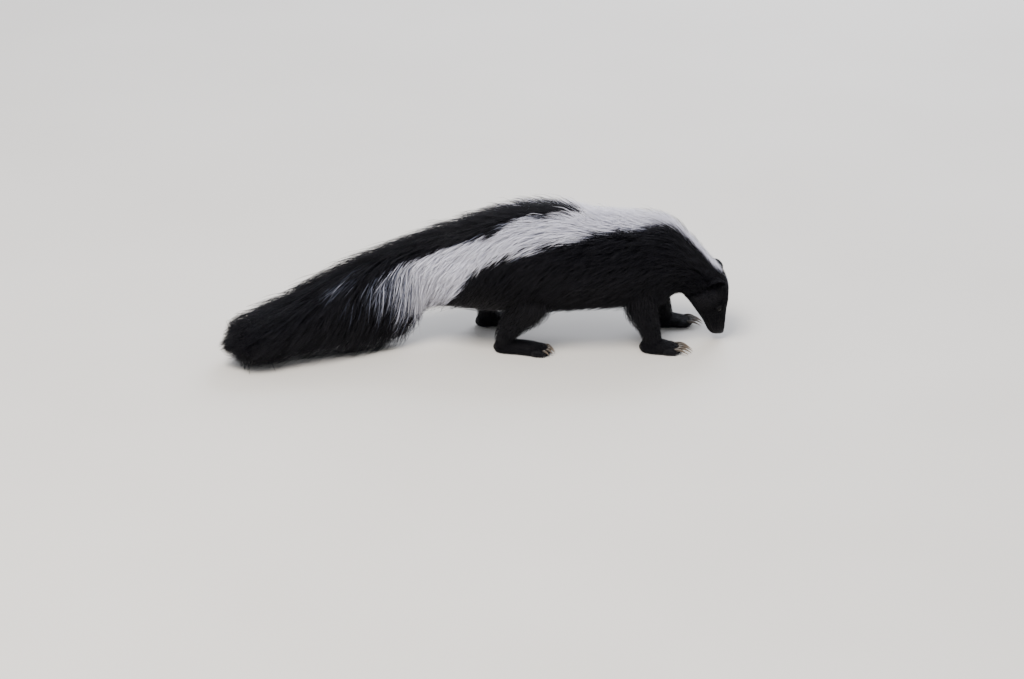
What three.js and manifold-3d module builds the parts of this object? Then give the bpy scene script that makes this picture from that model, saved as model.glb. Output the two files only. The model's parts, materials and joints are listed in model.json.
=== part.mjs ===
// Striped skunk, life size, foraging with its nose to the ground and its tail laid out behind it.
// Millimetres. +X is forward, +Y is the animal's left, +Z is up, and the floor is at Z = 0.
import * as THREE from "three";
import { mergeVertices } from "three/addons/utils/BufferGeometryUtils.js";
import Module from "manifold-3d";

const wasm = await Module();
wasm.setup();

// Clear space between neighbouring pieces.
const GAP = 0.3;

// The spine from the tip of the tail to the nose. At each station side, up and down are the half width and
// the heights of the body under its coat, and fur is how far the coat stands out at the side, above, below.
const SPINE = [
  { at: "tail tip", x: -305, y: -101, z: 27, side: 0.5, up: 0.5, down: 0.5, fur: [14, 10, 12] },
  { at: "tail brush", x: -296, y: -97, z: 29, side: 1, up: 1, down: 1, fur: [30, 19, 28] },
  { at: "tail end", x: -275, y: -88, z: 34, side: 2, up: 2, down: 2, fur: [39, 25, 34] },
  { at: "tail bone end", x: -243, y: -73, z: 43, side: 5, up: 5, down: 5, fur: [42, 24, 40] },
  { at: "tail hind", x: -203, y: -55, z: 56, side: 8, up: 8, down: 8, fur: [40, 23, 50] },
  { at: "tail middle", x: -162, y: -37, z: 72, side: 10, up: 10, down: 10, fur: [37, 24, 57] },
  { at: "tail fore", x: -121, y: -21, z: 87, side: 12, up: 12, down: 12, fur: [33, 22, 57] },
  { at: "tail root", x: -84, y: -8, z: 99, side: 15, up: 14, down: 14, fur: [28, 19, 50] },
  { at: "rump", x: -50, y: -2, z: 100, side: 32, up: 24, down: 30, fur: [22, 20, 26] },
  { at: "hips", x: -8, y: 0, z: 99, side: 50, up: 38, down: 42, fur: [18, 20, 15] },
  { at: "loins", x: 38, y: 0, z: 102, side: 60, up: 49, down: 50, fur: [16, 20, 13] },
  { at: "back", x: 84, y: 0, z: 105, side: 62, up: 51, down: 54, fur: [15, 19, 12] },
  { at: "ribs", x: 130, y: 0, z: 102, side: 58, up: 46, down: 50, fur: [14, 17, 11] },
  { at: "shoulder blades", x: 170, y: 0, z: 102, side: 53, up: 44, down: 47, fur: [13, 17, 11] },
  { at: "withers", x: 200, y: 0, z: 104.5, side: 47, up: 41, down: 43, fur: [12, 16, 11] },
  { at: "neck base", x: 221, y: 0, z: 103, side: 42, up: 37, down: 37, fur: [11, 14, 10] },
  { at: "nape", x: 235.2, y: 0, z: 99.6, side: 35, up: 26, down: 32, fur: [10, 11, 10] },
  { at: "upper neck", x: 248.1, y: 0, z: 92.9, side: 30, up: 19.5, down: 29, fur: [9, 9, 9] },
  { at: "occiput", x: 257.6, y: 0, z: 84.5, side: 28, up: 18.5, down: 27, fur: [8, 7, 8] },
  { at: "ears", x: 265.4, y: 0, z: 73.3, side: 28, up: 21.5, down: 23, fur: [7, 5.5, 7] },
  { at: "cheeks", x: 269.3, y: 0, z: 64.3, side: 28.5, up: 22, down: 22, fur: [6, 4.5, 7] },
  { at: "brow", x: 272.1, y: 0, z: 52.7, side: 25.5, up: 20, down: 19, fur: [4.5, 3.5, 5] },
  { at: "eyes", x: 274.8, y: 0, z: 41, side: 20, up: 17, down: 15.5, fur: [3, 2.5, 3.5] },
  { at: "bridge", x: 277.6, y: 0, z: 29.4, side: 14, up: 13, down: 12, fur: [2, 2, 2.5] },
  { at: "muzzle", x: 280.3, y: 0, z: 17.7, side: 10.8, up: 9.8, down: 9.5, fur: [1.2, 1.2, 1.5] },
  { at: "lip", x: 281.9, y: 0, z: 10.8, side: 8.8, up: 8, down: 7.4, fur: [0.8, 0.8, 0.8] },
  { at: "snout", x: 282.8, y: 0, z: 7, side: 4.5, up: 4.6, down: 3.4, fur: [0.3, 0.3, 0.3] },
];

// The legs from the trunk down, about the middle of their own foot, which stands at x = 0 and y = 0.
const FORE_LEG = [
  { at: "shoulder", x: -16, y: -15, z: 96, side: 17, up: 22, down: 22, fur: [9, 9, 9] },
  { at: "upper arm", x: -17, y: -6, z: 72, side: 15, up: 19, down: 20, fur: [8, 8, 8] },
  { at: "elbow", x: -15, y: -1, z: 51, side: 12, up: 14, down: 16, fur: [6, 6, 7] },
  { at: "forearm", x: -8, y: 0, z: 35, side: 10.5, up: 11, down: 12, fur: [4.5, 4, 5] },
  { at: "wrist", x: -3, y: 0, z: 19, side: 10, up: 9, down: 10, fur: [3, 2.5, 3] },
  { at: "palm", x: -1, y: 0, z: 6, side: 10, up: 9, down: 10, fur: [2, 2, 2] },
];
const HIND_LEG = [
  { at: "hip", x: 4, y: -18, z: 98, side: 20, up: 30, down: 26, fur: [11, 10, 11] },
  { at: "thigh", x: 9, y: -8, z: 78, side: 19, up: 30, down: 26, fur: [10, 9, 11] },
  { at: "knee", x: 8, y: 0, z: 58, side: 15, up: 24, down: 22, fur: [9, 7, 10] },
  { at: "shank", x: -4, y: 1, z: 39, side: 11.5, up: 14, down: 14, fur: [6, 5, 7] },
  { at: "hock", x: -15, y: 1, z: 22, side: 9.5, up: 10, down: 10, fur: [3.5, 3, 4] },
  { at: "heel", x: -17, y: 0, z: 7, side: 9, up: 9, down: 9, fur: [2, 2, 2] },
];

// Each paw from its heel to the roots of its toes, lying along +X with its sole cut flat on the floor.
const FORE_PAW = [
  { at: "heel", x: -15, y: 0, z: 6, side: 4, up: 4, down: 6, fur: [1, 1, 1] },
  { at: "pad", x: -6, y: 0, z: 6.5, side: 11, up: 8, down: 8, fur: [1, 1, 1] },
  { at: "sole", x: 8, y: 0, z: 6, side: 13, up: 7.5, down: 8, fur: [1, 1, 1] },
  { at: "toe roots", x: 19, y: 0, z: 5, side: 12, up: 5, down: 7, fur: [0.7, 0.7, 0.7] },
  { at: "web", x: 24, y: 0, z: 4.5, side: 8, up: 2.5, down: 5, fur: [0.3, 0.3, 0.3] },
];
const HIND_PAW = [
  { at: "heel", x: -28, y: 0, z: 6, side: 4, up: 4, down: 6, fur: [1, 1, 1] },
  { at: "pad", x: -19, y: 0, z: 6.5, side: 9.5, up: 8, down: 8, fur: [1, 1, 1] },
  { at: "arch", x: 0, y: 0, z: 6.5, side: 10.5, up: 8, down: 8, fur: [1, 1, 1] },
  { at: "sole", x: 15, y: 0, z: 6, side: 12.5, up: 7, down: 8, fur: [1, 1, 1] },
  { at: "toe roots", x: 25, y: 0, z: 5, side: 11.5, up: 5, down: 7, fur: [0.7, 0.7, 0.7] },
  { at: "web", x: 30, y: 0, z: 4.5, side: 8, up: 2.5, down: 5, fur: [0.3, 0.3, 0.3] },
];
// The two kinds of leg: its stations, its paw's stations, where the toes start and how long the claws are.
const FORE = { leg: FORE_LEG, paw: FORE_PAW, toes: 24, claws: 17 };
const HIND = { leg: HIND_LEG, paw: HIND_PAW, toes: 30, claws: 9 };
// Where each foot stands, and how many degrees it turns to the left.
const FEET = [
  { leg: "foreleg_right", paw: "forepaw_right", kind: FORE, x: 206, y: -42, turn: -6 },
  { leg: "foreleg_left", paw: "forepaw_left", kind: FORE, x: 222, y: 42, turn: 6 },
  { leg: "hind_leg_right", paw: "hind_paw_right", kind: HIND, x: 46, y: -45, turn: -10 },
  { leg: "hind_leg_left", paw: "hind_paw_left", kind: HIND, x: 24, y: 45, turn: 10 },
];
// The height of the cut between leg and paw.
const ANKLE = 17;
// The outer toes stand back from the middle one. Each claw leaves its toe above its middle, arches and
// hooks down.
const TOES = { count: 5, radius: 4.6, length: 8.5, spread: 5.3, stagger: 1.1 };
const CLAW = { radius: 2, high: 1.3, rise: 1.6, arch: 1.6, hook: 4.3, splay: 0.06, sunk: 4, taper: 0.8 };

// The head is measured back from the nose along its own straight axis.
const EYE = { back: 36, angle: 62, radius: 4.4, sunk: 3.0 };
const LID = { ring: 4.5, thick: 1.5, lift: 2.3, open: 0.82 };
const MOUTH = { angle: 121, corner: 33, groove: 2.2, lip: 0.9 };
const NOSE = { back: 3.6, up: 3.2, side: 6.2, high: 5.0, long: 5.6 };
const NOSTRIL = { side: 2.9, up: -0.4, radius: 1.5, deep: 3.2 };
const EAR = { back: 70, angle: 62, wide: 10.5, tall: 12.5, deep: 5.5, lean: 30, stand: 5.5 };

// Long hair is drawn together into flat, tapered locks, in rows that overlap from the middle of the back to
// the tip of the tail. Between them the coat is a core that fills half its depth.
const CORE = 0.5;
const SEED = 11;
const LOCK = { root: 0.16, sag: 16, step: [0, 0.28, 0.6, 0.86], taper: [0.8, 1, 0.84, 0.44] };
const BACK_LOCKS = { spacing: 37, width: 37, length: 70, thick: 6, sides: 96, reach: 0.93 };
const TAIL_LOCKS = { spacing: 36, width: 40, length: 88, thick: 8, reach: 0.95 };

const V = (x, y, z) => new THREE.Vector3(x, y, z);
const radians = THREE.MathUtils.degToRad;
const { lerp, clamp, smoothstep } = THREE.MathUtils;

// A smooth curve through values at rising knots, in cubic pieces whose slopes are those of their neighbours.
function through(knots, values) {
  const last = knots.length - 1;
  const slope = values.map((_, i) => {
    const a = Math.max(i - 1, 0);
    const b = Math.min(i + 1, last);
    return (values[b] - values[a]) / (knots[b] - knots[a]);
  });
  return (s) => {
    const passed = knots.filter((k) => k <= s).length;
    const j = clamp(passed - 1, 0, last - 1);
    const h = knots[j + 1] - knots[j];
    const t = clamp((s - knots[j]) / h, 0, 1);
    const u = 1 - t;
    return (
      values[j] * u * u * (1 + 2 * t) +
      slope[j] * h * u * u * t +
      values[j + 1] * t * t * (3 - 2 * t) -
      slope[j + 1] * h * t * t * u
    );
  };
}

// A limb or trunk along its stations. point(s, angle, fur, extra) is on its surface, s along it, angle degrees
// round from the top towards +Y, with fur from 0 at the skin to 1 at the coat's tips, and extra mm beyond.
function limb(stations) {
  const centres = stations.map((p) => V(p.x, p.y, p.z));
  const knots = [0];
  centres.slice(1).forEach((c, i) => knots.push(knots[i] + c.distanceTo(centres[i])));
  const curve = (pick) => through(knots, stations.map(pick));
  const [x, y, z] = ["x", "y", "z"].map((axis) => through(knots, centres.map((c) => c[axis])));
  const side = curve((p) => p.side);
  const up = curve((p) => p.up);
  const down = curve((p) => p.down);
  const [furSide, furUp, furDown] = [0, 1, 2].map((i) => curve((p) => p.fur[i]));
  const centre = (s) => V(x(s), y(s), z(s));
  const length = knots[knots.length - 1];
  const frame = (s) => {
    const along = centre(Math.min(s + 0.5, length)).sub(centre(Math.max(s - 0.5, 0))).normalize();
    const left = V(0, 1, 0).addScaledVector(along, -along.y).normalize();
    return { along, left, top: along.clone().cross(left) };
  };
  const point = (s, angle, fur, extra = 0) => {
    const { left, top } = frame(s);
    const sin = Math.sin(radians(angle));
    const cos = Math.cos(radians(angle));
    const wide = side(s) + fur * furSide(s) + extra;
    const high = cos > 0 ? up(s) + fur * furUp(s) + extra : down(s) + fur * furDown(s) + extra;
    return centre(s).addScaledVector(left, wide * sin).addScaledVector(top, high * cos);
  };
  const at = Object.fromEntries(stations.map((p, i) => [p.at, knots[i]]));
  return { length, at, centre, frame, point, side, furSide };
}

// A closed mesh over a list of rings of points. A fan to its middle shuts each end, or the last to the tip.
function skinOver(rings, tip) {
  const round = rings[0].length;
  const points = rings.flat();
  const middleOf = (ring) => ring.reduce((sum, p) => sum.add(p), V(0, 0, 0)).divideScalar(round);
  const first = points.push(middleOf(rings[0]), tip ?? middleOf(rings[rings.length - 1])) - 2;
  const index = [];
  for (let i = 0; i < round; i++) {
    const j = (i + 1) % round;
    for (let r = 0; r + 1 < rings.length; r++) {
      const a = r * round + i;
      const b = r * round + j;
      index.push(a, b, b + round, a, b + round, a + round);
    }
    const end = (rings.length - 1) * round;
    index.push(first, j, i, first + 1, end + i, end + j);
  }
  const geometry = new THREE.BufferGeometry().setFromPoints(points);
  return geometry.setIndex(index);
}

// A three.js geometry as a manifold solid, turned face out if its rings ran the other way.
function solidOf(geometry, matrix = new THREE.Matrix4()) {
  const plain = geometry.clone().applyMatrix4(matrix);
  plain.deleteAttribute("normal");
  plain.deleteAttribute("uv");
  const merged = mergeVertices(plain, 1e-4);
  const triVerts = new Uint32Array(merged.index.array);
  const build = () =>
    new wasm.Manifold(
      new wasm.Mesh({ numProp: 3, vertProperties: merged.attributes.position.array, triVerts }),
    );
  const made = build();
  if (made.volume() > 0) return made;
  for (let i = 0; i < triVerts.length; i += 3) {
    [triVerts[i + 1], triVerts[i + 2]] = [triVerts[i + 2], triVerts[i + 1]];
  }
  return build();
}

// The pieces joined, less the scraps: the largest closed surface of what is left.
const joined = (...pieces) => wasm.Manifold.union(pieces);
const largest = (solid) => solid.decompose().reduce((a, b) => (b.volume() > a.volume() ? b : a));

const spine = limb(SPINE);
const NOSE_TIP = spine.length;
const CUT = {
  tail: lerp(spine.at["tail root"], spine.at["rump"], 0.5),
  neck: spine.at["neck base"],
  head: lerp(spine.at["upper neck"], spine.at["occiput"], 0.6),
};

// The angles of a ring: even steps, with closer lines at the mouth where lips is true.
const evenRing = (count) => Array.from({ length: count }, (_, i) => (360 / count) * i);
const LIP = 7;
const mouthRing = (count) => {
  const lines = [-LIP, 0, LIP].flatMap((d) => [MOUTH.angle + d, 360 - MOUTH.angle - d]);
  const even = evenRing(count).filter((a) => lines.every((l) => Math.abs(l - a) > LIP));
  return [...even, ...lines].sort((a, b) => a - b);
};

// How far the face stands out or in at s and angle: brow, cheek and muzzle swell, eyes and mouth are sunk.
const back = (s) => NOSE_TIP - s;
const hill = (x, middle, width) => Math.exp(-(((x - middle) / width) ** 2));
function relief(s, angle) {
  const d = back(s);
  if (d > 90) return 0;
  const turn = angle > 180 ? 360 - angle : angle;
  const brow = 1.8 * hill(d, EYE.back + 6, 6) * hill(turn, 36, 20);
  const socket = -1.4 * hill(d, EYE.back, 6) * hill(turn, EYE.angle + 4, 17);
  const cheek = 2.0 * hill(d, EYE.back + 19, 13) * hill(turn, 96, 32);
  const whiskerPad = 1.0 * hill(d, 12, 7) * hill(turn, 100, 26);
  const chin = 0.6 * hill(d, 8, 6) * hill(turn, 180, 40);
  const open = smoothstep(d, 3, 7) * (1 - smoothstep(d, MOUTH.corner - 4, MOUTH.corner + 3));
  const lips = open * (MOUTH.lip * hill(turn, MOUTH.angle, 14) - MOUTH.groove * hill(turn, MOUTH.angle, 4));
  return brow + socket + cheek + whiskerPad + chin + lips;
}

// A length of the body from s = a to s = b as a closed solid. share(s, angle) is how much coat it takes in.
function bodyPart(a, b, step, angles, share, grow = 0) {
  const count = Math.max(2, Math.round((b - a) / step));
  const rings = Array.from({ length: count + 1 }, (_, i) => {
    const s = lerp(a, b, i / count);
    return angles.map((angle) => spine.point(s, angle, share(s, angle), relief(s, angle) + grow));
  });
  return solidOf(skinOver(rings));
}
const coatTips = () => 1;

// How full the coat is at s and angle: whole on belly, chest and shoulders, and only its core under locks.
const LOCKS_START = spine.at["back"] + 26;
function fullness(s, angle) {
  const turn = angle > 180 ? 360 - angle : angle;
  const sides = lerp(180, BACK_LOCKS.sides, smoothstep(s, spine.at["rump"] - 8, spine.at["hips"]));
  const below = smoothstep(turn, sides, sides + 18);
  const ahead = smoothstep(s, LOCKS_START - 30, LOCKS_START + 4);
  return lerp(CORE, 1, Math.max(below, ahead));
}

// A run of numbers from 0 to 1 that looks random and is the same each time.
function drawer(seed) {
  let state = seed;
  return () => {
    state = (state * 1664525 + 1013904223) % 4294967296;
    return state / 4294967296;
  };
}

// One lock, from its root at s and angle back along the body. It leaves the core, rises to reach (a share of
// the coat's depth) and bends sag degrees down round the side. grow thickens it, to cut its neighbour clear.
function lock({ s, angle, length, width, thick, reach, sag }, grow = 0) {
  const rootFur = fullness(s, Math.abs(angle)) - LOCK.root;
  const at = (t) => {
    const here = Math.max(s - length * t, 0.8);
    const turn = angle + sag * Math.sin(radians(angle)) * t ** 1.6;
    const fur = lerp(rootFur, reach, 1 - (1 - t) ** 2.4);
    return { here, turn, fur, radius: spine.point(here, turn, fur).distanceTo(spine.centre(here)) };
  };
  const rings = LOCK.step.map((t, i) => {
    const { here, turn, fur, radius } = at(t);
    const half = THREE.MathUtils.radToDeg((width * LOCK.taper[i] + grow) / 2 / radius);
    const deep = thick * LOCK.taper[i] + grow;
    return [
      spine.point(here, turn, fur, deep / 2),
      spine.point(here, turn + half, fur, -deep / 2),
      spine.point(here, turn - half, fur, -deep / 2),
    ];
  });
  const { here, turn, fur } = at(1);
  return solidOf(skinOver(rings, spine.point(here, turn, fur)));
}

// Rows of locks from s = front back to s = rear, like shingles: each row's gaps lie under the row before.
function rowsOfLocks({ spacing, width, length, thick, reach }, front, rear, sidesAt, seed) {
  const draw = drawer(seed);
  const vary = (size, share) => size * (1 + share * (2 * draw() - 1));
  const list = [];
  const rows = Math.round((front - rear) / spacing);
  for (let row = 0; row <= rows; row++) {
    const s = lerp(front, rear, row / rows);
    const sides = sidesAt(s);
    const round = radians(sides) * 2 * spine.point(s, 90, reach).distanceTo(spine.centre(s));
    const count = Math.max(5, Math.round(round / width));
    const stepAngle = (2 * sides) / (sides < 180 ? count - 1 : count);
    const first = -sides + (sides < 180 ? 0 : (row % 2) * stepAngle / 2);
    for (let i = 0; i < count; i++) {
      list.push({
        s: s + 6 * (draw() - 0.5),
        angle: first + stepAngle * (i + 0.16 * (draw() - 0.5)),
        length: vary(length, 0.14),
        width: vary(width, 0.1),
        thick: vary(thick, 0.15),
        reach: reach + 0.06 * (draw() - 0.5),
        sag: LOCK.sag * (0.6 + 0.8 * draw()),
      });
    }
  }
  return list;
}

// The trunk, whose coat is plain below and in front.
const locksOver = (s) => lerp(180, BACK_LOCKS.sides, smoothstep(s, spine.at["rump"] - 8, spine.at["hips"]));
const backLocks = rowsOfLocks(BACK_LOCKS, LOCKS_START, CUT.tail + 20, locksOver, SEED);
const trunkPart = (share, grow) =>
  bodyPart(CUT.tail + GAP / 2, CUT.neck - GAP / 2, 13, evenRing(24), share, grow);
const trunk = trunkPart(fullness);
const torso = largest(joined(trunk, ...backLocks.map((one) => lock(one))));
const neckPart = (grow) =>
  bodyPart(CUT.neck + GAP / 2, CUT.head - GAP / 2, 7, evenRing(24), coatTips, grow);
const neck = neckPart();

// The tail, cut clear of the locks that hang over its root and laid flat where it meets the floor.
const tailLocks = rowsOfLocks(TAIL_LOCKS, CUT.tail - 26, TAIL_LOCKS.length * 0.45, () => 180, SEED + 1);
const tailCore = bodyPart(0, CUT.tail - GAP / 2, 15, evenRing(16), fullness);
const brush = joined(tailCore, ...tailLocks.map((one) => lock(one)));
const overTail = backLocks.filter((one) => one.s - one.length < CUT.tail + 4);
const bare = overTail.reduce((solid, one) => solid.subtract(lock(one, 2 * GAP)), brush);
const tail = largest(bare.trimByPlane([0, 0, 1], 0));

// The trunk and neck a little larger and in one piece, for cutting the legs clear.
const seam = bodyPart(CUT.neck - 6, CUT.neck + 6, 12, evenRing(24), coatTips, GAP);
const bodyBed = joined(trunkPart(coatTips, GAP), neckPart(GAP), seam);

// The head's own frame: from the nose back along its axis, to the left, and up towards the forehead.
const headFrame = spine.frame(NOSE_TIP - 25);
const noseTip = spine.centre(NOSE_TIP - 25).addScaledVector(headFrame.along, 25);
const headMatrix = (dBack, left, top) =>
  new THREE.Matrix4()
    .makeBasis(headFrame.along, headFrame.left, headFrame.top)
    .setPosition(
      noseTip
        .clone()
        .addScaledVector(headFrame.along, -dBack)
        .addScaledVector(headFrame.left, left)
        .addScaledVector(headFrame.top, top),
    );
const ball = (radii, matrix, wide = 12, high = 8) =>
  solidOf(new THREE.SphereGeometry(1, wide, high).scale(...radii), matrix);

// An eye and the ring of its lids. sign is 1 on the left and -1 on the right.
function eyePlace(sign) {
  const angle = sign > 0 ? EYE.angle : 360 - EYE.angle;
  const face = (back, turn) => {
    const s = NOSE_TIP - EYE.back - back;
    return spine.point(s, angle + turn, 1, relief(s, angle + turn));
  };
  const forward = face(-3, 0).sub(face(3, 0));
  const out = forward.cross(face(0, 5).sub(face(0, -5))).normalize();
  return { centre: face(0, 0).addScaledVector(out, -EYE.sunk), out };
}
const eyeball = (sign, grow = 0) => {
  const { centre } = eyePlace(sign);
  const size = EYE.radius + grow;
  return ball([size, size, size], new THREE.Matrix4().setPosition(centre), 12, 8);
};
function lids(sign) {
  const { centre, out } = eyePlace(sign);
  const across = headFrame.along.clone().addScaledVector(out, -headFrame.along.dot(out)).normalize();
  const matrix = new THREE.Matrix4()
    .makeBasis(across, out.clone().cross(across), out)
    .setPosition(centre.clone().addScaledVector(out, LID.lift));
  const ring = new THREE.TorusGeometry(LID.ring, LID.thick, 5, 12).scale(1.08, LID.open, 1);
  return solidOf(ring, matrix);
}

// The nose pad with its two nostrils, set into the front of the muzzle.
const noseBlank = (grow) =>
  ball([NOSE.long + grow, NOSE.side + grow, NOSE.high + grow], headMatrix(NOSE.back, 0, NOSE.up), 12, 9);
const nostrils = [1, -1].map((sign) =>
  ball(
    [NOSTRIL.deep, NOSTRIL.radius, NOSTRIL.radius * 1.2],
    headMatrix(NOSE.back - NOSE.long + 1.4, sign * NOSTRIL.side, NOSE.up + NOSTRIL.up),
    8,
    6,
  ),
);
const nose = nostrils.reduce((pad, hole) => pad.subtract(hole), noseBlank(0));

// Below the mouth line lies the lower jaw. The wedge is drawn from the side, back from the nose and up.
function jawWedge(grow) {
  const line = [-4, 2, 8, 14, 20, 26, MOUTH.corner].map((d) => {
    const s = NOSE_TIP - Math.max(d, 1);
    const lip = spine.point(s, MOUTH.angle, 1, relief(s, MOUTH.angle)).sub(noseTip);
    return new THREE.Vector2(d, lip.dot(headFrame.top) + grow);
  });
  const throat = [
    [MOUTH.corner + 7 + grow, -34],
    [-6, -34],
  ].map(([d, top]) => new THREE.Vector2(d, top));
  const sheet = new THREE.ExtrudeGeometry(new THREE.Shape([...line, ...throat]), {
    depth: 80,
    bevelEnabled: false,
  });
  // The drawing's x runs back from the nose and its y up, and the extrusion runs sideways.
  const matrix = new THREE.Matrix4()
    .makeBasis(headFrame.along.clone().negate(), headFrame.top, headFrame.left)
    .setPosition(noseTip.clone().addScaledVector(headFrame.left, -40));
  return solidOf(sheet, matrix);
}

// An ear is a shallow bowl: the back of a flattened ball, with its front pushed in.
function ear(sign) {
  const geometry = new THREE.SphereGeometry(1, 14, 10);
  const place = geometry.attributes.position;
  for (let i = 0; i < place.count; i++) {
    const p = V().fromBufferAttribute(place, i);
    const rim = Math.hypot(p.x, p.y);
    if (p.z > 0) p.z = 0.25 * p.z - 0.95 * (1 - rim * rim);
    else p.z = p.z * 1.35 - 0.25;
    place.setXYZ(i, p.x * EAR.wide, p.y * EAR.tall, p.z * EAR.deep);
  }
  const s = NOSE_TIP - EAR.back;
  const base = spine.point(s, sign * EAR.angle, 0.4);
  const out = base.clone().sub(spine.centre(s)).normalize();
  const tall = out.clone().addScaledVector(headFrame.along, -Math.tan(radians(EAR.lean))).normalize();
  const front = headFrame.along.clone().addScaledVector(headFrame.left, sign * 0.55);
  front.addScaledVector(tall, -front.dot(tall)).normalize();
  const matrix = new THREE.Matrix4()
    .makeBasis(tall.clone().cross(front), tall, front)
    .setPosition(base.addScaledVector(tall, EAR.stand));
  return solidOf(geometry, matrix);
}

const headRing = mouthRing(26);
const headPart = (grow) => bodyPart(CUT.head + GAP / 2, NOSE_TIP, 3.6, headRing, coatTips, grow);
const faced = joined(headPart(), lids(1), lids(-1));
const skull = faced.subtract(eyeball(1, GAP)).subtract(eyeball(-1, GAP)).subtract(noseBlank(GAP));
const head = largest(skull.subtract(jawWedge(GAP)));
const jaw = largest(skull.intersect(jawWedge(0)));

// The toes of one paw, side by side, each with its claw.
function toesOf({ toes, claws }) {
  return Array.from({ length: TOES.count }, (_, i) => {
    const across = i - (TOES.count - 1) / 2;
    const middle = V(toes - TOES.stagger * across * across, across * TOES.spread, TOES.radius);
    const size = [TOES.length, TOES.radius, TOES.radius];
    const toe = ball(size, new THREE.Matrix4().setPosition(middle), 6, 5);
    const root = middle.clone().add(V(TOES.length - CLAW.sunk, 0, CLAW.rise));
    const along = (t) => {
      const rise = CLAW.arch * Math.sin(Math.PI * t) - CLAW.hook * t * t;
      return V(t * claws, CLAW.splay * across * t * claws, rise).add(root);
    };
    const rings = [0, 0.4, 0.75].map((t) => {
      const radius = CLAW.radius * (1 - CLAW.taper * t);
      const section = (a) => V(0, radius * Math.sin(radians(a)), radius * CLAW.high * Math.cos(radians(a)));
      return evenRing(4).map((a) => section(a).add(along(t)));
    });
    return [toe, solidOf(skinOver(rings, along(1)))];
  }).flat();
}

// A leg or paw as one closed solid along its stations.
function wholeLimb(stations, step, count) {
  const track = limb(stations);
  const steps = Math.round(track.length / step);
  const rings = Array.from({ length: steps + 1 }, (_, i) =>
    evenRing(count).map((angle) => track.point((track.length * i) / steps, angle, 1)),
  );
  return solidOf(skinOver(rings));
}

// One leg and its paw, cut apart at the ankle. The leg is cut clear of the body, and the sole is cut flat.
function legAndPaw({ kind, x, y, turn }) {
  const mirrored = kind.leg.map((p) => ({ ...p, y: Math.sign(y) * p.y }));
  const shank = wholeLimb(mirrored, 9, 16);
  const foot = joined(
    shank.trimByPlane([0, 0, -1], -ANKLE - 3),
    wholeLimb(kind.paw, 7, 12),
    ...toesOf(kind),
  );
  const place = (solid) => solid.rotate([0, 0, turn]).translate([x, y, 0]);
  return {
    leg: largest(place(shank.trimByPlane([0, 0, 1], ANKLE + GAP / 2)).subtract(bodyBed)),
    paw: largest(place(foot.trimByPlane([0, 0, -1], GAP / 2 - ANKLE).trimByPlane([0, 0, 1], 0))),
  };
}

// Finishes, by what each piece is covered with.
const material = (color, roughness) => new THREE.MeshStandardMaterial({ color, roughness, metalness: 0 });
const BLACK_COAT = material(0x14131a, 0.75);
const BLACK_SKIN = material(0x1c191a, 0.45);
const EYE_GLOSS = material(0x050404, 0.06);

function meshOf(name, solid, finish) {
  const { vertProperties, numProp, triVerts, numVert } = solid.getMesh();
  const points = new Float32Array(numVert * 3);
  for (let i = 0; i < numVert; i++) points.set(vertProperties.subarray(i * numProp, i * numProp + 3), i * 3);
  const geometry = new THREE.BufferGeometry()
    .setAttribute("position", new THREE.BufferAttribute(points, 3))
    .setIndex(new THREE.BufferAttribute(triVerts, 1));
  geometry.computeVertexNormals();
  const mesh = new THREE.Mesh(geometry, finish);
  mesh.name = name;
  return mesh;
}

const animal = new THREE.Group();
animal.add(
  meshOf("torso", torso, BLACK_COAT),
  meshOf("neck", neck, BLACK_COAT),
  meshOf("head", head, BLACK_COAT),
  meshOf("jaw", jaw, BLACK_COAT),
  meshOf("nose", nose, BLACK_SKIN),
  meshOf("tail", tail, BLACK_COAT),
);
for (const [side, sign] of [["left", 1], ["right", -1]]) {
  animal.add(meshOf("eye_" + side, eyeball(sign), EYE_GLOSS));
  animal.add(meshOf("ear_" + side, largest(ear(sign).subtract(headPart(GAP))), BLACK_COAT));
}
for (const foot of FEET) {
  const { leg, paw } = legAndPaw(foot);
  animal.add(meshOf(foot.leg, leg, BLACK_COAT), meshOf(foot.paw, paw, BLACK_SKIN));
}

// The part's origin is on the floor under the middle of the animal's bounding box.
const box = new THREE.Box3().setFromObject(animal);
const middle = box.getCenter(V(0, 0, 0));
animal.position.set(-middle.x, -middle.y, -box.min.z);
const skunk = new THREE.Group();
skunk.add(animal);

export default skunk;
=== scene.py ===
"""A striped skunk, life size, foraging with its nose to the ground and its tail laid out behind it.

Tables are in millimetres in the animal's own frame: +X is forward, +Y is its left, +Z is up, and the floor
is at z = 0. Everything is turned to metres in the part's frame when a mesh is made.
"""
import json

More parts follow.
